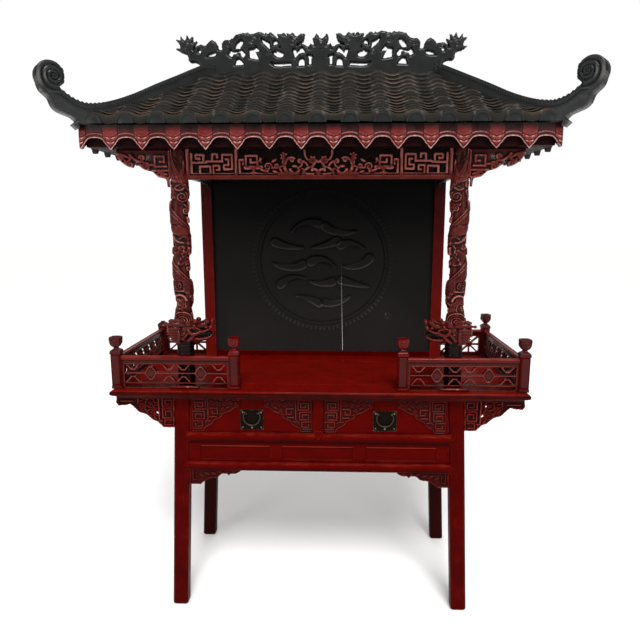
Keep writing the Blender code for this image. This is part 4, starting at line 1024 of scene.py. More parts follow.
def make_table_wings():
    """Stepped wings: square fret panels by the leg, then rings and leaves out to the tip."""
    for side, sign in SIDES.items():
        node = f"table_wing_{side}"
        c = front_board(node, 0.0019, 35, 0.012, stretch_wing)
        c.h[:] = -0.0045
        for line in TABLE_WING_FRETS:
            c.strand(flip(line, sign), 0.0030, 0.0046, -0.004)
        for x, z, radius in ((0.606, 0.806, 0.017), (0.604, 0.769, 0.013), (0.634, 0.794, 0.010)):
            coil = spiral(sign * x, z, radius * 0.55, radius * 0.1, 0, sign * 1.2)
            c.ridge(spiral(sign * x, z, radius, radius, 0, 1, 18), 0.0026, 0.0046, -0.004, solid=True)
            c.ridge(coil, 0.0024, 0.0046, -0.004, solid=True)
        for x, z, lean in TABLE_WING_LEAVES:
            c.bead(sign * x, z, 0.011, 0.0042, 0.0045, sign * lean, -0.004)
        c.raised_rim(0.0022, 0.0024, 0.0046, -0.0042)
        # the deep ground takes painted shade
        c.build(node, front_of(c.low.y + 0.0005), -0.0155, CARVED_RED, [node], wear_and_shading=(0.007, 0.0034, 0.009),
                angle=60, worn=0.95)


BRACKET_FRETS = [((0.49, 0.546), (0.47, 0.546), (0.47, 0.52), (0.484, 0.52), (0.484, 0.534)),
    ((0.462, 0.548), (0.462, 0.512), (0.448, 0.512), (0.448, 0.538))]
BRACKET_LEAVES = [(0.43, 0.528, 30), (0.408, 0.534, 25), (0.385, 0.536, 15), (0.362, 0.543, 10),
    (0.335, 0.544, 0), (0.31, 0.546, 0)]


def make_brackets():
    """Low brackets under the rail: a fret by the leg and a row of leaves."""
    for side, sign in SIDES.items():
        node = f"under_bracket_{side}"
        c = front_board(node, 0.0019, corner=35)
        c.h[:] = -0.003
        for line in BRACKET_FRETS:
            c.strand(flip(line, sign), 0.0026, 0.0036, -0.0028)
        for x, z, lean in BRACKET_LEAVES:
            c.bead(sign * x, z, 0.012, 0.0042, 0.0036, sign * lean, -0.0028)
        c.raised_rim(0.0020, 0.0022, 0.0036, -0.003)
        c.tint -= 0.08
        c.build(node, front_of(c.low.y + 0.0005), -0.0135, CARVED_RED, [node], wear_and_shading=(0.006, 0.0024), angle=60,
                worn=0.5)


DRAWER_X, DRAWER_FACE = 0.2385, -0.2631     # the middle of a drawer front, and its face
CORNER_RUN, CORNER_TOP = 0.216, 0.828       # a fretwork corner runs from the front's end towards its middle
CORNER_STEPS = [(0, 0.703), (0.04, 0.703), (0.046, 0.716), (0.071, 0.731), (0.078, 0.744), (0.104, 0.756),
    (0.114, 0.77), (0.138, 0.779), (0.156, 0.792), (0.172, 0.796)]
CORNER_FRETS = [((0.004, 0.822), (0.05, 0.822), (0.05, 0.786), (0.012, 0.786), (0.012, 0.812),
    (0.04, 0.812), (0.04, 0.796), (0.022, 0.796), (0.022, 0.804)), ((0.004, 0.778), (0.044, 0.778),
    (0.044, 0.75), (0.012, 0.75), (0.012, 0.768), (0.034, 0.768), (0.034, 0.76)), ((0.004, 0.742),
    (0.036, 0.742), (0.036, 0.722), (0.012, 0.722), (0.012, 0.732)), ((0.004, 0.714), (0.034, 0.714)),
    ((0.058, 0.824), (0.058, 0.75), (0.046, 0.738)), ((0.066, 0.79), (0.092, 0.79), (0.092, 0.77),
    (0.074, 0.77), (0.074, 0.78)), ((0.052, 0.742), (0.066, 0.742)), ((0.064, 0.758), (0.088, 0.758))]
CORNER_CURLS = [(0.072, 0.812, 0.011, 0), (0.096, 0.806, 0.01, 180), (0.118, 0.808, 0.01, 90),
    (0.14, 0.812, 0.009, 0), (0.112, 0.784, 0.008, 200), (0.158, 0.808, 0.007, 90)]
CORNER_LEAVES = [(0.106, 0.822, 10), (0.13, 0.822, -10), (0.13, 0.794, -25), (0.084, 0.826, 0),
    (0.15, 0.822, 15), (0.166, 0.802, -20), (0.166, 0.822, 0), (0.104, 0.77, -30)]


def make_spandrels():
    """Fretwork corners glued on the drawer fronts, stepped down towards the legs."""
    for side, sign in SIDES.items():
        for name, toward in (("inner", -1), ("outer", 1)):
            way = sign * toward
            middle = sign * DRAWER_X

            def to(line, way=way, middle=middle):
                return [(middle + way * (CORNER_RUN - run), z) for run, z in line]
            loop = to([(0, CORNER_TOP)] + CORNER_STEPS + [(0.172, CORNER_TOP)])
            us = [p[0] for p in loop]
            c = Carving((min(us), max(us)), (0.703, CORNER_TOP), 0.0018)
            c.shape([soften(loop, 35)])
            c.h[:] = 0.0004
            for line in CORNER_FRETS:
                c.ridge(to(line), 0.0026, 0.0030, 0.0002, flat=0.3)
            for run, z, radius, start in CORNER_CURLS:
                x = middle + way * (CORNER_RUN - run)
                c.ridge(spiral(x, z, radius, radius * 0.2, start, way * 1.4), 0.0022, 0.0028, 0.0002)
            for run, z, lean in CORNER_LEAVES:
                c.bead(middle + way * (CORNER_RUN - run), z, 0.009, 0.0036, 0.0028, way * lean, 0.0002)
            c.raised_rim(0.0018, 0.0020, 0.0030, 0.0002)
            c.build(f"spandrel_{side}_{name}", front_of(DRAWER_FACE), -0.001, CARVED_RED,
                    body=f"drawer_{side}",
                    wear_and_shading=(0.005, 0.0019), angle=60, worn=0.75)


# ---------- galleries ----------

RAIL_Z = (0.963, 0.982)
FOOT, FRAME_LOW, FRAME_TOP = 0.8645, 0.8805, 0.964     # foot of a gallery, top of its slits, top of its frame
CHEVRONS = (0.080, 0.425, 0.567, 0.920)
LOZENGES = (0.255, 0.745)
LOZENGE_RING = [(1, 0), (0.58, 0.58), (0.22, 1), (-0.22, 1), (-0.58, 0.58), (-1, 0), (-0.58, -0.58),
    (-0.22, -1), (0.22, -1), (0.58, -0.58)]
# leaves round each scroll of a side gallery: root, tip and how far each bows
LEAVES = (((-0.024, -0.026), (0.024, 0.018), 0.012), ((-0.006, -0.032), (0.018, -0.012), -0.006),
          ((-0.020, 0.032), (0.004, 0.024), 0.004))


def rail(name, start, end, y, degrees=0, x=0):
    """A rounded rail, with painted highlight on its upper side and painted shade below."""
    low, high = RAIL_Z
    bm = bmesh.new()
    layer = bm.verts.layers.float.new("wear_and_shading")
    section = []
    for k in range(18):
        a = 2 * math.pi * k / 18
        across, up = (abs(f(a)) ** (2 / 3.2) * math.copysign(1, f(a)) for f in (math.cos, math.sin))
        section.append((y + 0.010 * across, (low + high) / 2 + (high - low) / 2 * up))
    loft(bm, [[(end, *spot) for spot in section] for end in (start, end)])
    for vert in bm.verts:
        rise = (2 * vert.co.z - low - high) / (high - low)
        # painted highlight over the upper half, painted shade from just above the middle down
        vert[layer] = 0.40 * max(rise, 0) + 1.50 * min(rise + 0.08, 0)
    shift(bm, bm.verts[:], degrees=degrees, move=(x, 0, 0))
    settle(name, bm, RED_RAIL)


def lattice(c, start, end, style, outward):
    """The open panel of a gallery: chevrons and two lozenges, or two stars of spokes."""
    low, high = FRAME_LOW + (0.0015 if style == "back" else 0.0085), 0.9505
    middle, tall = (low + high) / 2, (high - low) / 2
    long = end - start

    def at(share):
        return start + long * share if outward > 0 else end - long * share
    if style == "front":
        bars = [[(at(a), middle), (at(b), middle)] for a, b in ((0, 0.200), (0.310, 0.690), (0.800, 1))]
        for share in CHEVRONS:
            for way in (-1, 1):
                bars.append([(at(share - 0.058), middle + way * tall),
                             (at(share - 0.016), middle + way * 0.013),
                             (at(share + 0.016), middle + way * 0.013),
                             (at(share + 0.058), middle + way * tall)])
        for x in map(at, LOZENGES):
            ring = [(x + long * 0.055 * a, middle + tall * 0.74 * b) for a, b in LOZENGE_RING]
            inside = np.abs(c.u - x) / (long * 0.055) + np.abs(c.v - middle) / (tall * 0.90) < 1
            c.s = np.where(inside, np.maximum(c.s, 0.004), c.s)
            c.h = np.where(inside, -0.0015, c.h)
            c.tint += 0.10 * inside
            c.ridge(ring, 0.0026, 0.0036, -0.0025, True, 0.3, True)
            c.bead(x, middle, long * 0.034, tall * 0.42, 0.0012, base=-0.0012)
    else:
        bars = [[(start, middle), (end, middle)], [(start + long / 2, low), (start + long / 2, high)]]
        for x in (start + long / 4, start + long * 3 / 4):
            bars.append([(x, low), (x, high)])
            for way in (-1, 1):
                bars.append([(x - long * 0.23, middle - way * tall), (x + long * 0.23, middle + way * tall)])
    ground = c.h.copy()
    for line in bars:
        c.ridge(line, 0.0025 if style == "front" else 0.0036, 0.0040, -0.0035, flat=0.3, solid=True)
    c.tint += 0.08 * (c.h > ground + 0.0015) - 0.08


def foliage(c, start, long, centre):
    """Scrolls and leaves along the panel of a side gallery."""
    for k in range(13):
        x = start + long * (k + 0.5) / 13
        way = 1 if k % 2 else -1
        coil = spiral(x, centre + way * 0.010, 0.016, 0.016 * 0.16, 90 * way, way * 1.5)
        c.strand(coil, 0.0042, 0.0060, -0.006, 0.25)
        for root, tip, sag in LEAVES:
            line = bow((x + root[0], centre + way * root[1]), (x + tip[0], centre + way * tip[1]), way * sag)
            c.ridge(line, 0.0042, 0.006, -0.006, solid=True)


def lens(c, x, z):
    """A low polished lens at the foot of a front gallery, with a painted glint on it."""
    oval = np.abs((c.u - x) / 0.055) ** 1.6 + np.abs((c.v - z) / 0.0076) ** 1.6
    c.s = np.where(oval < 1, np.maximum(c.s, np.minimum(c.outer, 0.004)), c.s)
    c.h = np.where(oval < 1, np.maximum(c.h, 0.0075 * np.sqrt(np.clip(1 - oval, 0, 1))), c.h)
    c.tint -= 0.15 * (oval < 1)
    c.tint += 1.2 * np.clip(1 - np.hypot(c.u - x - 0.012, (c.v - z - 0.002) * 2) / 0.007, 0, 1)


def gallery_panel(name, start, end, place, style, outward=1):
    """A gallery between two posts: its frame, its pierced panel, and slits or grooves below."""
    c = Carving((start, end), (FOOT, FRAME_TOP), 0.0018)
    low, high = FRAME_LOW + (0.001 if style == "back" else 0.006), 0.953
    middle, inset = (start + end) / 2, 0.010
    c.outer = c.depth([[(start, FOOT), (end, FOOT), (end, FRAME_TOP), (start, FRAME_TOP)]])
    slits = []
    for far in (start + 0.008, end - 0.008):
        slits.append([(far, 0.8668), (middle, 0.8668), (middle, 0.8790), (far, 0.8790)])
    grooved = c.depth(slits)
    hollow = c.depth([[(start + inset, low), (end - inset, low), (end - inset, high), (start + inset, high)]])
    c.s = np.minimum(c.outer, -np.maximum(hollow, grooved) if style == "front" else -hollow)
    c.h[:] = np.where(grooved > 0, -0.0012 if style == "back" else -0.005, 0)
    c.h = np.where(hollow > 0, GROUND if style == "foliage" else -0.004, c.h)
    if style == "foliage":
        foliage(c, start + inset, end - start - 2 * inset, (low + high) / 2)
    else:
        lattice(c, start + inset, end - inset, style, outward)
    c.cut([(start, 0.8812), (end, 0.8812)], 0.0012, 0.0010)
    if style == "front":
        lens(c, middle - outward * 0.030, 0.8695)
    c.h += 0.0012 * bump_at(hollow, 0, 0.0016) * (hollow <= 0)
    # the deep ground takes painted shade
    c.build(name, place, -0.012, POLISHED, [name], wear_and_shading=(0.005, 0.0020, 0.008), angle=60,
            double=style == "foliage",
            worn=0.68)


def make_galleries():
    for side, sign in SIDES.items():
        for part in ("front", "back"):
            node = f"gallery_{part}_{side}"
            low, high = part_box(node)
            y = (low.y + high.y) / 2
            gallery_panel(node, low.x, high.x, front_of(y - 0.006), part, sign)
            rail(f"rail_{part}_{side}", low.x, high.x, y)
        node = f"gallery_side_{side}"
        low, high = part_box(node)
        x = (low.x + high.x) / 2
        gallery_panel(node, low.y, high.y, side_of(x + sign * 0.006, sign), "foliage")
        rail(f"rail_side_{side}", low.y, high.y, 0, 90, x)


# the turned parts of a post, as radius and height
CAP_PROFILE = [(0.0188, 0.9955), (0.019, 0.999), (0.016, 1.0035), (0.0105, 1.007), (0.0078, 1.009),
    (0.007, 1.012)]
CUP_PROFILE = [(0.007, 1.011), (0.009, 1.013), (0.015, 1.018), (0.019, 1.026), (0.0205, 1.036),
    (0.0212, 1.045), (0.0205, 1.0495), (0.017, 1.0508), (0.015, 1.049), (0.006, 1.0485)]


def post_block(bm, x, y, half, low, high, ease):
    block(bm, (2 * half, 2 * half, high - low), (x, y, (low + high) / 2), ease)


def make_posts():
    """Square posts with a bead at the foot, a moulded cap, and a cup finial carved as a bud."""
    for node in [n for n in NODES if n.startswith("gallery_post")]:
        low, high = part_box(node)
        x, y = (low.x + high.x) / 2, (low.y + high.y) / 2
        bm = bmesh.new()
        post_block(bm, x, y, 0.0168, 0.8748, 0.9903, 0.0016)
        settle(node, bm, RED_UPRIGHT, [node], angle=40)
        bm = bmesh.new()
        for quarter in range(4):
            made = bmesh.ops.create_grid(bm, x_segments=3, y_segments=3, size=0.5)["verts"]
            for vert in made:
                edge = max(abs(vert.co.x), abs(vert.co.y)) > 0.45
                wide, tall, out = (0.0118, 0.0515, -0.0166) if edge else (0.0108, 0.0505, -0.0174)
                u = 0.0 if abs(vert.co.x) < 0.1 else math.copysign(wide, vert.co.x)
                v = 0.0 if abs(vert.co.y) < 0.1 else math.copysign(tall, vert.co.y)
                vert.co = (u, out, 0.9325 + v)
            shift(bm, made, degrees=90 * quarter, move=(x, y, 0))
        settle(node.replace("gallery_post", "post_face"), bm, ROSY, angle=30)
        bm = bmesh.new()
        post_block(bm, x, y, 0.0180, 0.8645, 0.8755, 0.0014)
        post_block(bm, x, y, 0.0192, 0.9895, 0.9965, 0.0020)
        lathe(bm, CAP_PROFILE, x, y, 0.85)
        if high.z > 1.03:
            lathe(bm, CUP_PROFILE, x, y, 0.55)
            for quarter in range(4):
                spot = bmesh.ops.create_uvsphere(bm, u_segments=14, v_segments=8, radius=1)["verts"]
                shift(bm, spot, (0.0105, 0.0050, 0.0105), move=(0, -0.0178, 1.034))
                shift(bm, spot, degrees=90 * quarter, move=(x, y, 0))
        settle(node.replace("gallery_post", "finial"), bm, RED_RAIL if "inner" in node else ROSY, angle=40)


# ---------- columns ----------

COLUMN_X, COLUMN_Y = 0.478, -0.225
PITCH = 0.185                    # height of one turn of the dragon
DRUM_RADIUS, DRUM_SIDES = 0.0245, 132
GIRTH = 2 * math.pi * DRUM_RADIUS
# heavy curls of the body that stand out beside the folds: how far round, height, half width and half height
LUGS = [(0.034, 1.22, 0.01, 0.032), (-0.034, 1.35, 0.01, 0.016), (0.033, 1.5, 0.011, 0.024),
    (-0.034, 1.455, 0.009, 0.012)]
# leaves on a column's head: root and tip, how far each bows, and half its width
HEAD_LEAVES = [((0.01, 1.588), (-0.02, 1.592), 0.006, 0.007), ((-0.014, 1.604), (-0.022, 1.65), 0.004,
    0.006), ((-0.006, 1.6), (0.017, 1.686), -0.005, 0.0085), ((0.012, 1.596), (0.022, 1.648), -0.003,
    0.007)]


def clear(c, u, z, wide, tall, height, tone):
    """Levels an oval field for a figure to stand on."""
    inside = np.hypot((c.u - u) / wide, (c.v - z) / tall) < 1
    c.h = np.where(inside, height, c.h)
    c.tint = np.where(inside, tone, c.tint)


def figures(c, x):
    """What shows between the turns on one side: roundels, a muscle, curls, beads and arched folds."""
    clear(c, x - 0.0130, 1.5360, 0.0220, 0.0300, 0.0045, -0.25)
    c.ridge(spiral(x - 0.0140, 1.5320, 0.0185, 0.0030, 130, 1.75, 16), 0.0024, 0.0038, 0.0050)
    c.ridge(bow((x + 0.004, 1.558), (x - 0.020, 1.562), 0.007), 0.0024, 0.0032, 0.0056)
    rise = (c.v - 1.4200 - 0.25 * (c.u - x)) / 0.0190
    across = (c.u - x) / 0.0330
    muscle = np.sqrt(np.clip(1 - rise ** 2 - across ** 4, 0, 1))
    c.h = np.where(muscle > 0, 0.0040 + 0.0055 * muscle, c.h)
    c.tint += 0.08 * (muscle > 0)
    clear(c, x, 1.3850, 0.024, 0.014, 0.0035, -0.20)
    c.ridge(bow((x + 0.020, 1.404), (x - 0.012, 1.377), 0.007), 0.0034, 0.0042, 0.0046)
    c.ridge(bow((x - 0.002, 1.390), (x - 0.022, 1.398), -0.004), 0.0026, 0.0036, 0.0040)
    clear(c, x - 0.002, 1.3270, 0.020, 0.026, 0.0055, -0.15)
    for k in range(12):
        step = k / 11
        u, z = x - 0.013 + 0.018 * step + 0.0042 * ripple(k, 3), 1.349 - 0.043 * step + 0.002 * ripple(k, 5)
        c.bead(u, z, 0.0031, 0.0028, 0.0030, 0, 0.0060)
    clear(c, x + 0.0095, 1.2290, 0.0200, 0.0200, 0.0050, -0.22)
    frame_line = [(x - 0.008, 1.247), (x + 0.027, 1.247), (x + 0.027, 1.211), (x - 0.008, 1.211)]
    c.ridge(frame_line, 0.0024, 0.0034, 0.0050, closed=True)
    c.ridge(spiral(x + 0.0095, 1.2290, 0.0135, 0.0030, 40, 1.75, 16), 0.0022, 0.0038, 0.0052)
    c.ridge(bow((x + 0.020, 1.192), (x - 0.014, 1.178), -0.012), 0.0034, 0.0042, 0.0056)
    clear(c, x, 1.1060, 0.033, 0.036, 0.0036, -0.10)
    for k in range(4):
        reach = 0.0075 + 0.0078 * k
        c.ridge(spiral(x, 1.1060, reach, reach * 0.94, -8, 0.545, 24), 0.0027, 0.0038,
                0.0036 + 0.0006 * (k % 2))
    for u, z, wide, tall in LUGS:
        lug = np.clip(1 - np.maximum(np.abs(c.u - x - u) / wide, np.abs(c.v - z) / tall) ** 6, 0, 1)
        c.h = np.maximum(c.h, 0.0098 * lug)


def leaves(c, x):
    """Leaves that lie over the head of a column, from its outer edge down and inwards."""
    facing = np.abs(c.u - x) < 0.036
    c.tint -= 0.22 * step_up(c.v, 1.600, 0.010) * facing
    for a, b, sag, half in HEAD_LEAVES:
        line = bow((x + a[0], a[1]), (x + b[0], b[1]), sag)
        for i in range(len(line) - 1):
            share = i / (len(line) - 1)
            c.ridge(line[i:i + 2], half * (1 - 0.75 * share), 0.0042 * (1 - 0.4 * share), 0.0026)
        c.cut(line[:-2], 0.0012, 0.0014)
    c.tint += 0.20 * (c.v > 1.585) * (c.h > 0.0040) * facing


def wind_body(c):
    """The dragon's body, wound round the drum: scales, belly plates, a toothed back and a rope."""
    turn = c.u / GIRTH
    drop = (c.v - turn * PITCH + PITCH / 2) % PITCH - PITCH / 2
    turns = (c.v - turn * PITCH - drop) / PITCH
    along = (turn + turns) * math.hypot(PITCH, GIRTH)
    body = dome(drop / 0.037)
    belly = step_up(drop, 0.016, 0.004)
    plates = (np.abs(((along / 0.008) % 1) - 0.5) * 2) ** 0.6
    skin = scales(along / 0.0105, drop / (0.0105 * 0.62))
    crest = bump_at(drop, -0.024 - 0.005 * np.sin(along * 2 * math.pi / 0.017), 0.0046)
    lines = np.minimum(np.abs(drop - 0.019), np.abs(drop - 0.032)) / 0.0032
    rope = np.clip(1 - lines, 0, 1) * (0.7 + 0.3 * np.sin(along * 2 * math.pi / 0.0058))
    c.h = 0.0015 + body * (0.0052 + 0.0013 * np.where(belly > 0, plates * belly, skin * (1 - belly)))
    c.h += (0.0024 * np.sqrt(crest) + 0.0022 * np.sqrt(np.clip(rope, 0, 1))) * (body > 0)
    c.h -= 0.0016 * bump_at(drop, 0.0255, 0.0022)


def cloud_curls(c, seed):
    """Cloud curls with tails in the gaps between the turns."""
    rng = np.random.default_rng(seed)
    for _ in range(52):
        z = rng.uniform(1.10, 1.685)
        gap = PITCH / 2 + rng.uniform(-0.026, 0.026)
        spot = ((z - gap) / PITCH) % 1 * GIRTH
        size = rng.uniform(0.007, 0.0125)
        start, way = rng.uniform(0, 360), rng.choice((-1, 1))
        lean = math.radians(start)
        for copy in (-GIRTH, 0, GIRTH):
            u = spot + copy
            c.ridge(spiral(u, z, size, size * 0.15, start, way * 1.5), 0.0021, 0.0040, 0.0022)
            tail = bow((u + size * math.cos(lean), z + size * math.sin(lean)),
                       (u + way * size * 1.6, z + size * 2.4), way * 0.004)
            c.ridge(tail, 0.0022, 0.0036, 0.0022)


def make_columns():
    """A dragon wound up a drum, with cloud curls and figures between its turns, and leaves at the top."""
    low, high = 0.8643, 1.6897
    for side, sign in SIDES.items():
        c = Carving((0, GIRTH * (DRUM_SIDES - 1) / DRUM_SIDES), (low, high), 0.0020, DRUM_SIDES)
        wind_body(c)
        cloud_curls(c, 11 if sign > 0 else 7)
        fronts = (0.75 * GIRTH, 0.25 * GIRTH)
        for x in fronts:
            figures(c, x)
        c.h = np.where(c.v > 1.56, c.h * (0.35 + 0.65 * np.clip((1.640 - c.v) / 0.060, 0, 1)), c.h)
        for x in fronts:
            leaves(c, x)
        drum = np.clip((1.095 - c.v) / 0.004, 0, 1)
        ring = 0.0015 * (np.abs(((c.v - low) / 0.030) % 1 - 0.5) * 2 > 0.86)
        c.h = c.h * (1 - drum) + drum * (0.0055 + ring)
        lean = 0.0026 * step_up(c.v, 1.10, 0.05) * np.clip((1.60 - c.v) / 0.05, 0, 1)
        # the plain drum under the head is darkened as painted shade
        tone = c.wear_and_shading(0.007, 0.0025) + c.tint - 0.75 * drum
        bm = bmesh.new()
        layer = bm.verts.layers.float.new("wear_and_shading")
        for vert, i, j in sheet(bm, *c.count):
            a = 2 * math.pi * i / DRUM_SIDES
            z = c.v[j, 0]
            r = DRUM_RADIUS + c.h[j, i] + lean[j, i] * math.cos(a - 2 * math.pi * z / PITCH)
            vert.co = (sign * COLUMN_X + sign * r * math.cos(a), COLUMN_Y + r * math.sin(a), z)
            vert[layer] = tone[j, i]
        seam = [e for e in open_edges(bm.edges) if abs(e.verts[0].co.z - e.verts[1].co.z) > 1e-5]
        bmesh.ops.bridge_loops(bm, edges=sorted(seam, key=lambda e: e.verts[0].co.z))
        bmesh.ops.holes_fill(bm, edges=open_edges(bm.edges), sides=0)
        settle(f"column_{side}", bm, CARVED, [f"column_{side}"], angle=70)


# The head looks along the table. Its tables give a place inwards of the column's middle, a place to the
# front of it, and a height; each is made on both cheeks.
SKULL = (((0.008, 0, 1.074), (0.042, 0.036, 0.037), 0), ((0.058, 0, 1.086), (0.036, 0.026, 0.0160), -14),
         ((0.080, 0, 1.0985), (0.0160, 0.0190, 0.0125), -20), ((0.056, 0, 1.058), (0.044, 0.019, 0.0150), 0),
         ((-0.022, 0, 1.056), (0.034, 0.037, 0.0290), 0), ((-0.034, 0, 1.068), (0.031, 0.030, 0.0340), 0))
JAW = (0.012, 0.0110, 0.0098, 0.0088, 0.0080, 0.0072, 0.0062, 0.0052, 0.0038)
# bosses of the nose, brow, ear and cheek: place, then half length and half height
BOSSES = [(0.1015, 0.01, 1.102, 0.006, 0.0085), (0.081, 0.02, 1.083, 0.006, 0.0052),
    (0.0975, 0.015, 1.0835, 0.0056, 0.0062), (0.087, 0.021, 1.0735, 0.0052, 0.0046),
    (0.0445, 0.024, 1.103, 0.0098, 0.0086), (0.042, 0.032, 1.0905, 0.0056, 0.0042),
    (-0.006, 0.022, 1.092, 0.017, 0.0125), (0.04, 0.03, 1.0725, 0.007, 0.0052),
    (-0.037, 0.034, 1.105, 0.0118, 0.0086), (-0.064, 0.036, 1.0915, 0.007, 0.0054)]
# bosses at the root of the jaw: inwards, height and size
WARTS = [(0.006, 1.062, 0.0058), (-0.003, 1.056, 0.0056), (0.005, 1.05, 0.0052), (-0.004, 1.045, 0.0052),
    (0.004, 1.04, 0.005), (-0.006, 1.066, 0.0054)]
# lids, lips, cheeks and whiskers: root, bend, tip and half thickness
LIMBS = (((0.022, 0.034, 1.074), (0.036, 0.040, 1.092), (0.062, 0.030, 1.073), 0.0036),
         ((0.020, 0.036, 1.079), (0.030, 0.043, 1.046), (0.064, 0.030, 1.068), 0.0062),
         ((0.058, 0.031, 1.066), (0.078, 0.028, 1.066), (0.096, 0.018, 1.078), 0.0044),
         ((0.044, 0.036, 1.057), (0.032, 0.042, 1.044), (0.014, 0.034, 1.032), 0.0060),
         ((0.022, 0.036, 1.066), (0.010, 0.042, 1.050), (-0.004, 0.036, 1.036), 0.0044),
         ((0.106, 0.012, 1.062), (0.094, 0.032, 1.034), (0.038, 0.033, 1.045), 0.0034),
         ((-0.014, 0.038, 1.076), (-0.006, 0.048, 1.054), (-0.016, 0.038, 1.030), 0.0070))
# flames of the mane, in the same terms, and the reach and height of the combed hair under them
MANE = (((0.004, 0.026, 1.090), (-0.026, 0.044, 1.098), (-0.070, 0.036, 1.0905), 0.0092),
        ((0.006, 0.020, 1.098), (-0.020, 0.038, 1.112), (-0.046, 0.032, 1.104), 0.0086))
HAIR = [(-0.057, 1.079), (-0.06, 1.069), (-0.06, 1.059), (-0.056, 1.049), (-0.05, 1.0395), (-0.038, 1.031)]
SWELL = [0.55, 0.8, 0.95, 1.0, 1.0, 1.0, 0.95, 0.8, 0.55]
FLAME_SWELL = [0.75, 0.95, 1.0, 0.96, 0.88, 0.76, 0.6, 0.38, 0.1]


def make_dragon_head(side, sign):
    """Head of the wound dragon, knit from bosses and limbs into one skin."""
    limbs = [(*row, SWELL) for row in LIMBS] + [(*row, FLAME_SWELL) for row in MANE]
    for k in range(4):
        limbs.append(((0.031 - 0.001 * k, 0.029, 1.0900 + 0.0038 * k), (0.022, 0.038, 1.0925 + 0.0040 * k),
                      (0.011, 0.033, 1.0880 + 0.0044 * k), 0.0022, SWELL))
    for k, (reach, z) in enumerate(HAIR):
        limbs.append(((-0.008, 0.036, z - 0.002), (-0.028, 0.050 - 0.002 * k, z + 0.006),
                      (reach, 0.038 + 0.003 * (k % 2), z - 0.003), 0.0060, FLAME_SWELL))
    bm = bmesh.new()
    for centre, radii, degrees in SKULL:
        ball(bm, centre, radii, degrees)
    limb(bm, arc((0.016, 0, 1.040), (0.082, 0, 1.026), (0.107, 0, 1.060)), JAW, flatten=2.4)
    for cheek in (-1, 1):
        for a, b, z, long, tall in BOSSES:
            ball(bm, (a, cheek * b, z), (long, 0.009, tall))
        for a, z, size in WARTS:
            ball(bm, (a, cheek * 0.035, z), (size, 0.007, size * 0.8))
        for *line, thick, swell in limbs:
            limb(bm, arc(*[(a, cheek * b, z) for a, b, z in line]), [thick * share for share in swell])
    for vert in bm.verts:
        vert.co = (sign * COLUMN_X - sign * vert.co.x, COLUMN_Y - vert.co.y, vert.co.z)
    bmesh.ops.recalc_face_normals(bm, faces=bm.faces[:])
    rough = put("head_rough", bm)
    knit = rough.modifiers.new("knit", "REMESH")
    knit.mode = "VOXEL"
    knit.voxel_size = 0.0019
    ease = rough.modifiers.new("ease", "SMOOTH")
    ease.factor = 0.5
    ease.iterations = 1
    whole = applied(rough)
    bpy.data.objects.remove(rough)
    bm = bmesh.new()
    bm.from_mesh(whole)
    bpy.data.meshes.remove(whole)
    x = sign * COLUMN_X
    # painted shadow inside the mouth and in the eyes, which shade_hollows paints black
    dark = [((x - sign * 0.075, COLUMN_Y, 1.0575), (0.032, 0.035, 0.0100))]
    dark += [((x - sign * 0.040, COLUMN_Y - b * 0.039, 1.0725), (0.0062, 0.009, 0.0036)) for b in (-1, 1)]
    shade_hollows(bm, 12, 0.0019, dark)
    settle(f"dragon_head_{side}", bm, POLISHED, angle=80)


def shade_hollows(bm, rounds, scale, dark):
    """Writes how far each point stands out from its neighbours, as painted highlight on bosses and painted
    shade in hollows; what lies in the dark ovals is painted black as shadow.
    """
    layer = bm.verts.layers.float.new("wear_and_shading")
    bm.verts.ensure_lookup_table()
    bm.normal_update()
    pairs = np.array([(e.verts[0].index, e.verts[1].index) for e in bm.edges])
    spots = np.array([v.co for v in bm.verts])
    normals = np.array([v.normal for v in bm.verts])
    count = np.bincount(pairs.ravel(), minlength=len(spots))[:, None]
    mean = spots.copy()
    for _ in range(rounds):
        total = np.zeros_like(mean)
        np.add.at(total, pairs[:, 0], mean[pairs[:, 1]])
        np.add.at(total, pairs[:, 1], mean[pairs[:, 0]])
        mean = 0.5 * mean + 0.5 * total / np.maximum(count, 1)
    out = np.clip(((spots - mean) * normals).sum(1) / scale, -1, 1)
    for centre, radii in dark:
        away = np.sqrt((((spots - centre) / radii) ** 2).sum(1))
        out -= 1.5 * np.clip((1.15 - away) / 0.3, 0, 1)
    for vert, value in zip(bm.verts, np.clip(out, -1, 1)):
        vert[layer] = value


# ---------- screen ----------

SCREEN_FACE, MEDALLION_Z = 0.243, 1.284
# the medallion's rings: radius, half width and depth
RINGS = ((0.266, 0.0050, 0.0026), (0.281, 0.0040, 0.0014))
# rows of strokes: height above the middle, how many, how far apart, and how wide
STROKE_ROWS = [(0.14, 2, 0.15, 0.019), (0.066, 3, 0.136, 0.02), (-0.012, 3, 0.146, 0.021),
    (-0.092, 3, 0.134, 0.02), (-0.166, 2, 0.142, 0.019)]


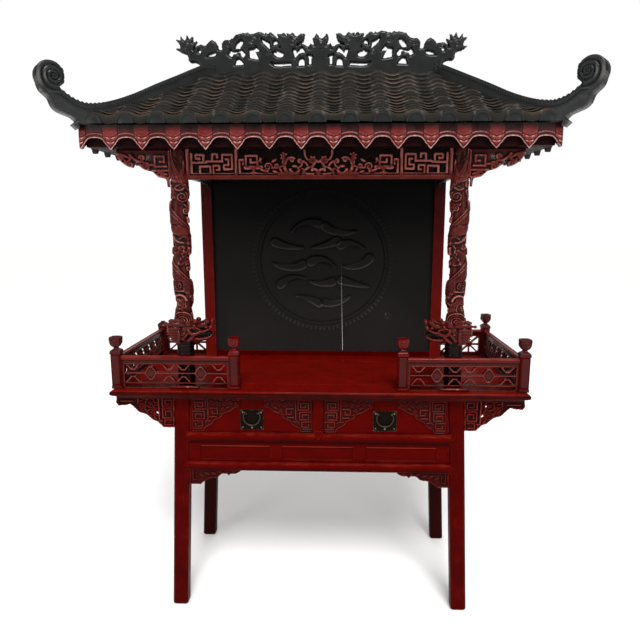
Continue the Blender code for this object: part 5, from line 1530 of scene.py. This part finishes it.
def strokes(c):
    """Rows of shallow tapered strokes, with painted highlight on their lower edges and painted shade on their
    upper ones.
    """
    for row, (rise, count, pitch, wide) in enumerate(STROKE_ROWS):
        for k in range(count):
            x = (k - (count - 1) / 2) * pitch + 0.008 * math.sin(5 * row + 3 * k)
            z = MEDALLION_Z + rise + 0.006 * math.sin(3 * row + 4 * k)
            lean = math.radians(17 * math.cos(4.1 * k + 2.3 * row))
            long = pitch * (0.40 + 0.05 * math.sin(2.2 * k + row))
            tips = [(x + e * long * math.cos(lean), z + e * long * math.sin(lean)) for e in (-1, 1)]
            line = bow(*tips, 0.020 * math.cos(2.6 * k + 1.9 * row))
            along = np.clip(((c.u - x) * math.cos(lean) + (c.v - z) * math.sin(lean)) / long, -1, 1)
            edge = wide * (0.58 + 0.34 * along * (-1) ** (row + k)) - near(c.u, c.v, line)
            upper = np.clip((c.v - z - (c.u - x) * math.tan(lean)) / wide * 1.6, -1, 1)
            c.h = np.maximum(c.h, 0.0030 * np.clip(edge / 0.006 + 0.5, 0, 1))
            c.tint += 1.10 * np.clip(-upper, 0, 1) * bump_at(edge, 0, 0.0036)
            c.tint -= 0.85 * np.clip(upper + 0.4, 0, 1) * bump_at(edge, 0, 0.0056)


def make_screen_panel():
    """A black panel with a low medallion: rings, teeth, strokes, and a crack up from its foot."""
    low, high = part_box("screen_panel")
    c = Carving((low.x, high.x), (low.z, high.z), 0.0036)
    c.s = c.outer = c.depth([[(low.x, low.z), (high.x, low.z), (high.x, high.z), (low.x, high.z)]])
    reach = np.hypot(c.u, c.v - MEDALLION_Z)
    a = np.arctan2(c.v - MEDALLION_Z, c.u)
    for radius, wide, deep in RINGS:
        c.h -= deep * dome((reach - radius) / wide)
        # painted shade in each ring's groove, and a painted highlight along its outer edge on the lower side
        c.tint -= 260 * deep * bump_at(reach, radius, wide)
        c.tint += 130 * deep * np.clip(-np.sin(a), 0.2, 1) * bump_at(reach, radius + wide, 0.004)
    teeth = (np.abs(((a / (2 * math.pi) * 96) % 1) - 0.5) < 0.27) & (reach > 0.290) & (reach < 0.305)
    c.h += 0.0008 * teeth
    # the teeth on the lower side get a painted highlight
    c.tint += 0.20 * teeth * np.clip(0.25 - np.sin(a), 0, 1) + 0.04 * (reach < 0.266)
    speck = np.sin(c.u * 900 + 2 * np.sin(c.v * 700)) * np.sin(c.v * 800 + 3 * np.sin(c.u * 500))
    for x, z, wide, tone in ((0.280, 1.052, 0.020, 1.3), (0.020, 1.155, 0.030, 0.35)):
        c.tint += tone * np.clip(speck - 0.3, 0, 1) * np.clip(1.3 - np.hypot(c.u - x, c.v - z) / wide, 0, 1)
    strokes(c)
    thing = c.build("screen_panel", front_of(SCREEN_FACE), -0.012, BLACK, ["screen_panel"],
                    wear_and_shading=(0.012, 0.0050),
                    angle=60)
    crack = [(0.0892, low.z - 0.01), (0.0901, low.z - 0.01), (0.0804, 1.284)]
    tool = bmesh.new()
    loft(tool, [[(x, y, z) for x, z in crack] for y in (0.20, 0.30)])
    bmesh.ops.recalc_face_normals(tool, faces=tool.faces[:])
    cutter = put("crack_tool", tool)
    split = thing.modifiers.new("crack", "BOOLEAN")
    split.object = cutter
    split.operation = "DIFFERENCE"
    split.solver = "FAST"
    thing.data = applied(thing)
    thing.data.name = "screen_panel"
    thing.modifiers.clear()
    bpy.data.objects.remove(cutter)


# ---------- joinery that wants a finer shape than its solid ----------

TOP_X, TOP_Y = 0.732, 0.311      # half of the table top
# its moulded edge from the underside up: how far in, and height
TOP_EDGE = [(0.02, 0.832), (0.019, 0.835), (0.0175, 0.8385), (0.014, 0.8415), (0.01, 0.8432),
    (0.007, 0.844), (0.0065, 0.8455), (0.003, 0.8465), (0.0008, 0.849), (0.0, 0.852), (0.0, 0.856),
    (0.0006, 0.859), (0.002, 0.8612), (0.004, 0.8625), (0.0055, 0.863), (0.0062, 0.864)]


def make_table_top():
    """Flat top of three boards with an eased edge, a bead below it, and a cove under the bead."""
    bm = bmesh.new()
    bm.verts.layers.float.new("wear_and_shading")
    rings, tones = [], []
    for inset, z in TOP_EDGE:
        a, b = TOP_X - inset, TOP_Y - inset
        rings.append([(-a, -b, z), (a, -b, z), (a, b, z), (-a, b, z)])
        # down the moulded edge: a painted highlight just under the top arris, then painted shade deepening
        # into the cove
        tones.append(-0.05 if z > 0.8635 else 0.45 if z > 0.8628 else max(-0.92, (z - 0.8625) * 400))
    bm.faces.remove(loft(bm, rings, tones))
    inset = TOP_EDGE[-1][0]
    for front, back in ((-TOP_Y + inset, -0.2046), (-0.2034, 0.1454), (0.1466, TOP_Y - inset)):
        block(bm, (2 * (TOP_X - inset), back - front, 0.004), (0, (front + back) / 2, 0.862), 0.0006, 1)
    settle("table_top", bm, RED_TOP_LIT, ["table_top"], angle=28)


def make_rails():
    """Half-round rails whose proud faces run out to points over the legs."""
    for node, point, mid in (("mid_rail", 0.5185, 0.681), ("lower_rail", 0.524, 0.5705)):
        low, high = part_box(node)
        half = (high.z - low.z) / 2 - 0.0003
        shoulder = high.x - 0.022
        loop = [(-shoulder, mid - half), (shoulder, mid - half), (high.x, mid), (shoulder, mid + half),
                (-shoulder, mid + half), (low.x, mid)]
        if node == "mid_rail":
            loop[4:4] = [(0.0148, mid + half), (0, mid + half - 0.0262), (-0.0148, mid + half)]
        c = Carving((low.x, high.x), (low.z, high.z), 0.0022)
        c.shape([loop])
        c.h = 0.0085 * dome(1 - np.clip(c.s, 0, 0.0150) / 0.0150) - 0.0085
        rise = (c.v - mid) / half
        # painted highlight along the upper part of the round, painted shade over its lower half
        c.tint += 0.27 * np.exp(-((rise - 0.60) / 0.32) ** 2) - 0.95 * np.clip(0.15 - rise, 0, 1) ** 1.2
        thing = c.build(node, front_of(low.y), -0.0078, RED, [node], wear_and_shading=(0.006, 0.0040), worn=0.2)
        bm = bmesh.new()
        block(bm, (2 * point - 0.090, high.y - low.y - 0.006, 2 * half),
              (0, (low.y + high.y) / 2 + 0.003, mid))
        join(thing, bm)


def make_front_board():
    """The board between the rails, with three sunk panels, a pale line along each panel's upper arris, and
    painted shade along its top under the mid rail.
    """
    c = front_board("front_panel_board", 0.0021)
    c.s = c.outer
    for left, right in ((-0.432, -0.175), (-0.133, 0.127), (0.171, 0.428)):
        sunk = c.depth([[(left, 0.594), (right, 0.594), (right, 0.641), (left, 0.641)]])
        c.h -= 0.005 * np.clip(sunk / 0.003 + 0.5, 0, 1)
        c.tint += 1.10 * bump_at(c.v, 0.6432, 0.0030) * (c.u > left + 0.002) * (c.u < right - 0.002)
        c.tint += 0.35 * bump_at(c.u, right + 0.001, 0.0024) * (np.abs(c.v - 0.6175) < 0.022)
    # painted shade under the mid rail along the board's top
    c.tint -= 0.35 * np.clip(1 - (c.high.z - c.v) / 0.010, 0, 1)
    c.build("front_panel_board", front_of(c.low.y), -0.018, RED, ["front_panel_board"], wear_and_shading=(0.006, 0.0060),
            worn=0.3, rear_shade=0.0)


PLATE_HALF, PLATE_Z = 0.042, (0.709, 0.785)
PLATE_FACE, LUG_Y, LUG_Z = -0.2618, -0.2668, 0.772
# pins and lugs beside a plate's middle: how far, height, half width and rise
PLATE_PINS = ((0.033, 0.775, 0.0042, 0.0028), (0.026, 0.772, 0.0050, 0.0022), (0.033, 0.719, 0.0030, 0.0018))


def make_pulls():
    """Square bronze plate with rounded corners, pins, lugs and a boss, and the bail that swings on it."""
    low, high = PLATE_Z
    for side, sign in SIDES.items():
        x = sign * DRAWER_X
        near_x, far_x, cut = x - PLATE_HALF, x + PLATE_HALF, 0.006
        c = Carving((near_x, far_x), PLATE_Z, 0.0012)
        c.shape([soften([(near_x + cut, low), (far_x - cut, low), (far_x, low + cut), (far_x, high - cut),
                         (far_x - cut, high), (near_x + cut, high), (near_x, high - cut),
                         (near_x, low + cut)], 60)])
        c.round_rim(0.0020, 0.0010)
        c.cut([(near_x + 0.005, low + 0.005), (far_x - 0.005, low + 0.005), (far_x - 0.005, high - 0.005),
               (near_x + 0.005, high - 0.005)], 0.0008, 0.0004, True)
        for way in (-1, 1):
            for off, z, wide, rise in PLATE_PINS:
                c.bead(x + way * off, z, wide, wide, rise)
        c.bead(x, 0.7185, 0.0050, 0.0050, 0.0036)
        thing = c.build(f"pull_plate_{side}", front_of(PLATE_FACE), -0.0022, BRONZE, [f"pull_plate_{side}"],
                        body=f"drawer_{side}", wear_and_shading=(0.003, 0.0010))
        bm = bmesh.new()
        for way in (-1, 1):
            made = bmesh.ops.create_cone(bm, cap_ends=True, segments=16, radius1=0.0042, radius2=0.0042,
                                         depth=0.0058)["verts"]
            shift(bm, made, degrees=90, axis="Y", move=(x + way * 0.0196, LUG_Y, LUG_Z))
        join(thing, bm)
        right = [(0.0172, LUG_Z), (0.0228, LUG_Z), (0.0272, 0.7705), (0.0295, 0.7665)]
        turns = [math.pi * k / 24 for k in range(25)]
        loop = [(-0.030 * math.cos(a), 0.762 - 0.034 * math.sin(a) ** 0.9) for a in turns]
        line = [(x + off, -0.2673, z) for off, z in flip(right, -1) + loop + right[::-1]]
        last = len(line) - 1
        bm = bmesh.new()
        limb(bm, line, [0.0017 + 0.0013 * math.sin(math.pi * k / last) ** 0.7 for k in range(last + 1)], 10)
        settle(f"bail_{side}", bm, BAR, [f"bail_{side}"], body=f"bail_{side}", angle=60)


# ---------- studio ----------

# area lights: place, side and power; each looks at the middle of the shrine
LIGHTS = {"left": ((-2.6, -2.6, 2.0), 1.4, 22), "right": ((2.6, -2.6, 2.0), 1.4, 20),
          "behind": ((0.0, 3.2, 3.4), 2.4, 40)}
AIM = Vector((0, 0, 1.2))


def make_studio():
    """A plain pale floor and room, soft daylight from above, and the camera."""
    world = bpy.data.worlds.new("soft_room")
    bpy.context.scene.world = world
    world.use_nodes = True
    tree = world.node_tree
    tree.nodes.remove(tree.nodes["Background"])
    lit, seen, dim = (add(tree, "Background", {"Color": rgb("FFFFFF"), "Strength": power})
                      for power in (0.40, 1.0, 0.22))
    soft = add(tree, "MixShader", {0: add(tree, "LightPath", out="Is Glossy Ray"), 1: lit, 2: dim})
    room = add(tree, "MixShader", {0: add(tree, "LightPath", out="Is Camera Ray"), 1: soft, 2: seen})
    tree.links.new(room, tree.nodes["World Output"].inputs["Surface"])
    bpy.context.scene.view_settings.view_transform = "Standard"
    sun = bpy.data.lights.new("skylight", "SUN")
    sun.energy = 2.9
    sun.angle = math.radians(22)
    put("skylight", sun, turn=(math.radians(40), 0, math.radians(8)))
    bm = bmesh.new()
    bmesh.ops.create_grid(bm, x_segments=1, y_segments=1, size=30)
    floor = put("floor", bm)
    pale = bpy.data.materials.new("pale_floor")
    pale.use_nodes = True
    shader = pale.node_tree.nodes["Principled BSDF"]
    shader.inputs["Base Color"].default_value = rgb("FCFBFA")
    shader.inputs["Roughness"].default_value = 0.8
    floor.data.materials.append(pale)
    for name, (spot, size, power) in LIGHTS.items():
        light = bpy.data.lights.new(name, "AREA")
        light.shape = "SQUARE"
        light.size = size
        light.energy = power
        put(name, light, spot, (AIM - Vector(spot)).to_track_quat("-Z", "Y").to_euler())
    camera = bpy.data.cameras.new("camera")
    camera.lens = 31.5
    camera.sensor_width = 36
    bpy.context.scene.camera = put("camera", camera, (0.071, -2.176, 1.449),
                                   (math.radians(80.05), 0, math.radians(1.93)))


# how the names of the solids begin, and the finish that each takes
PLAIN = {"table_top": RED, "mid_rail": RED, "lower_rail": RED, "front_panel_board": RED, "drawer_": RED,
         "screen_bottom_rail": RED, "screen_post": RED_ROOF_SHADED, "leg_front": RED_UPRIGHT, "leg_back": OXBLOOD,
         "side_board": OXBLOOD, "back_board": OXBLOOD, "roof_frame": NEAR_BLACK_RED, "screen_panel": BLACK,
         "gallery_post": ROSY, "pull_plate": BRONZE, "bail": BAR, "side_frieze": SATIN, "hip": SATIN,
         "crest": SATIN, "roof_slope": TILES}


def dress_plain():
    """The plain joinery keeps its solids and takes a finish."""
    for name, node in NODES.items():
        material = next((PLAIN[start] for start in PLAIN if name.startswith(start)), CARVED_RED)
        node.data.materials.clear()
        node.data.materials.append(material)


def main():
    dress_plain()
    make_fascias()
    make_slopes()
    make_tile_ends()
    for end_name, end in (("front", -1), ("back", 1)):
        for side, sign in SIDES.items():
            make_hip(f"hip_{end_name}_{side}", end, sign)
    make_crest()
    make_frieze()
    make_upper_wings()
    make_table_wings()
    make_brackets()
    make_spandrels()
    make_galleries()
    make_posts()
    make_columns()
    for side, sign in SIDES.items():
        make_dragon_head(side, sign)
    make_screen_panel()
    make_table_top()
    make_rails()
    make_front_board()
    make_pulls()
    make_studio()


main()
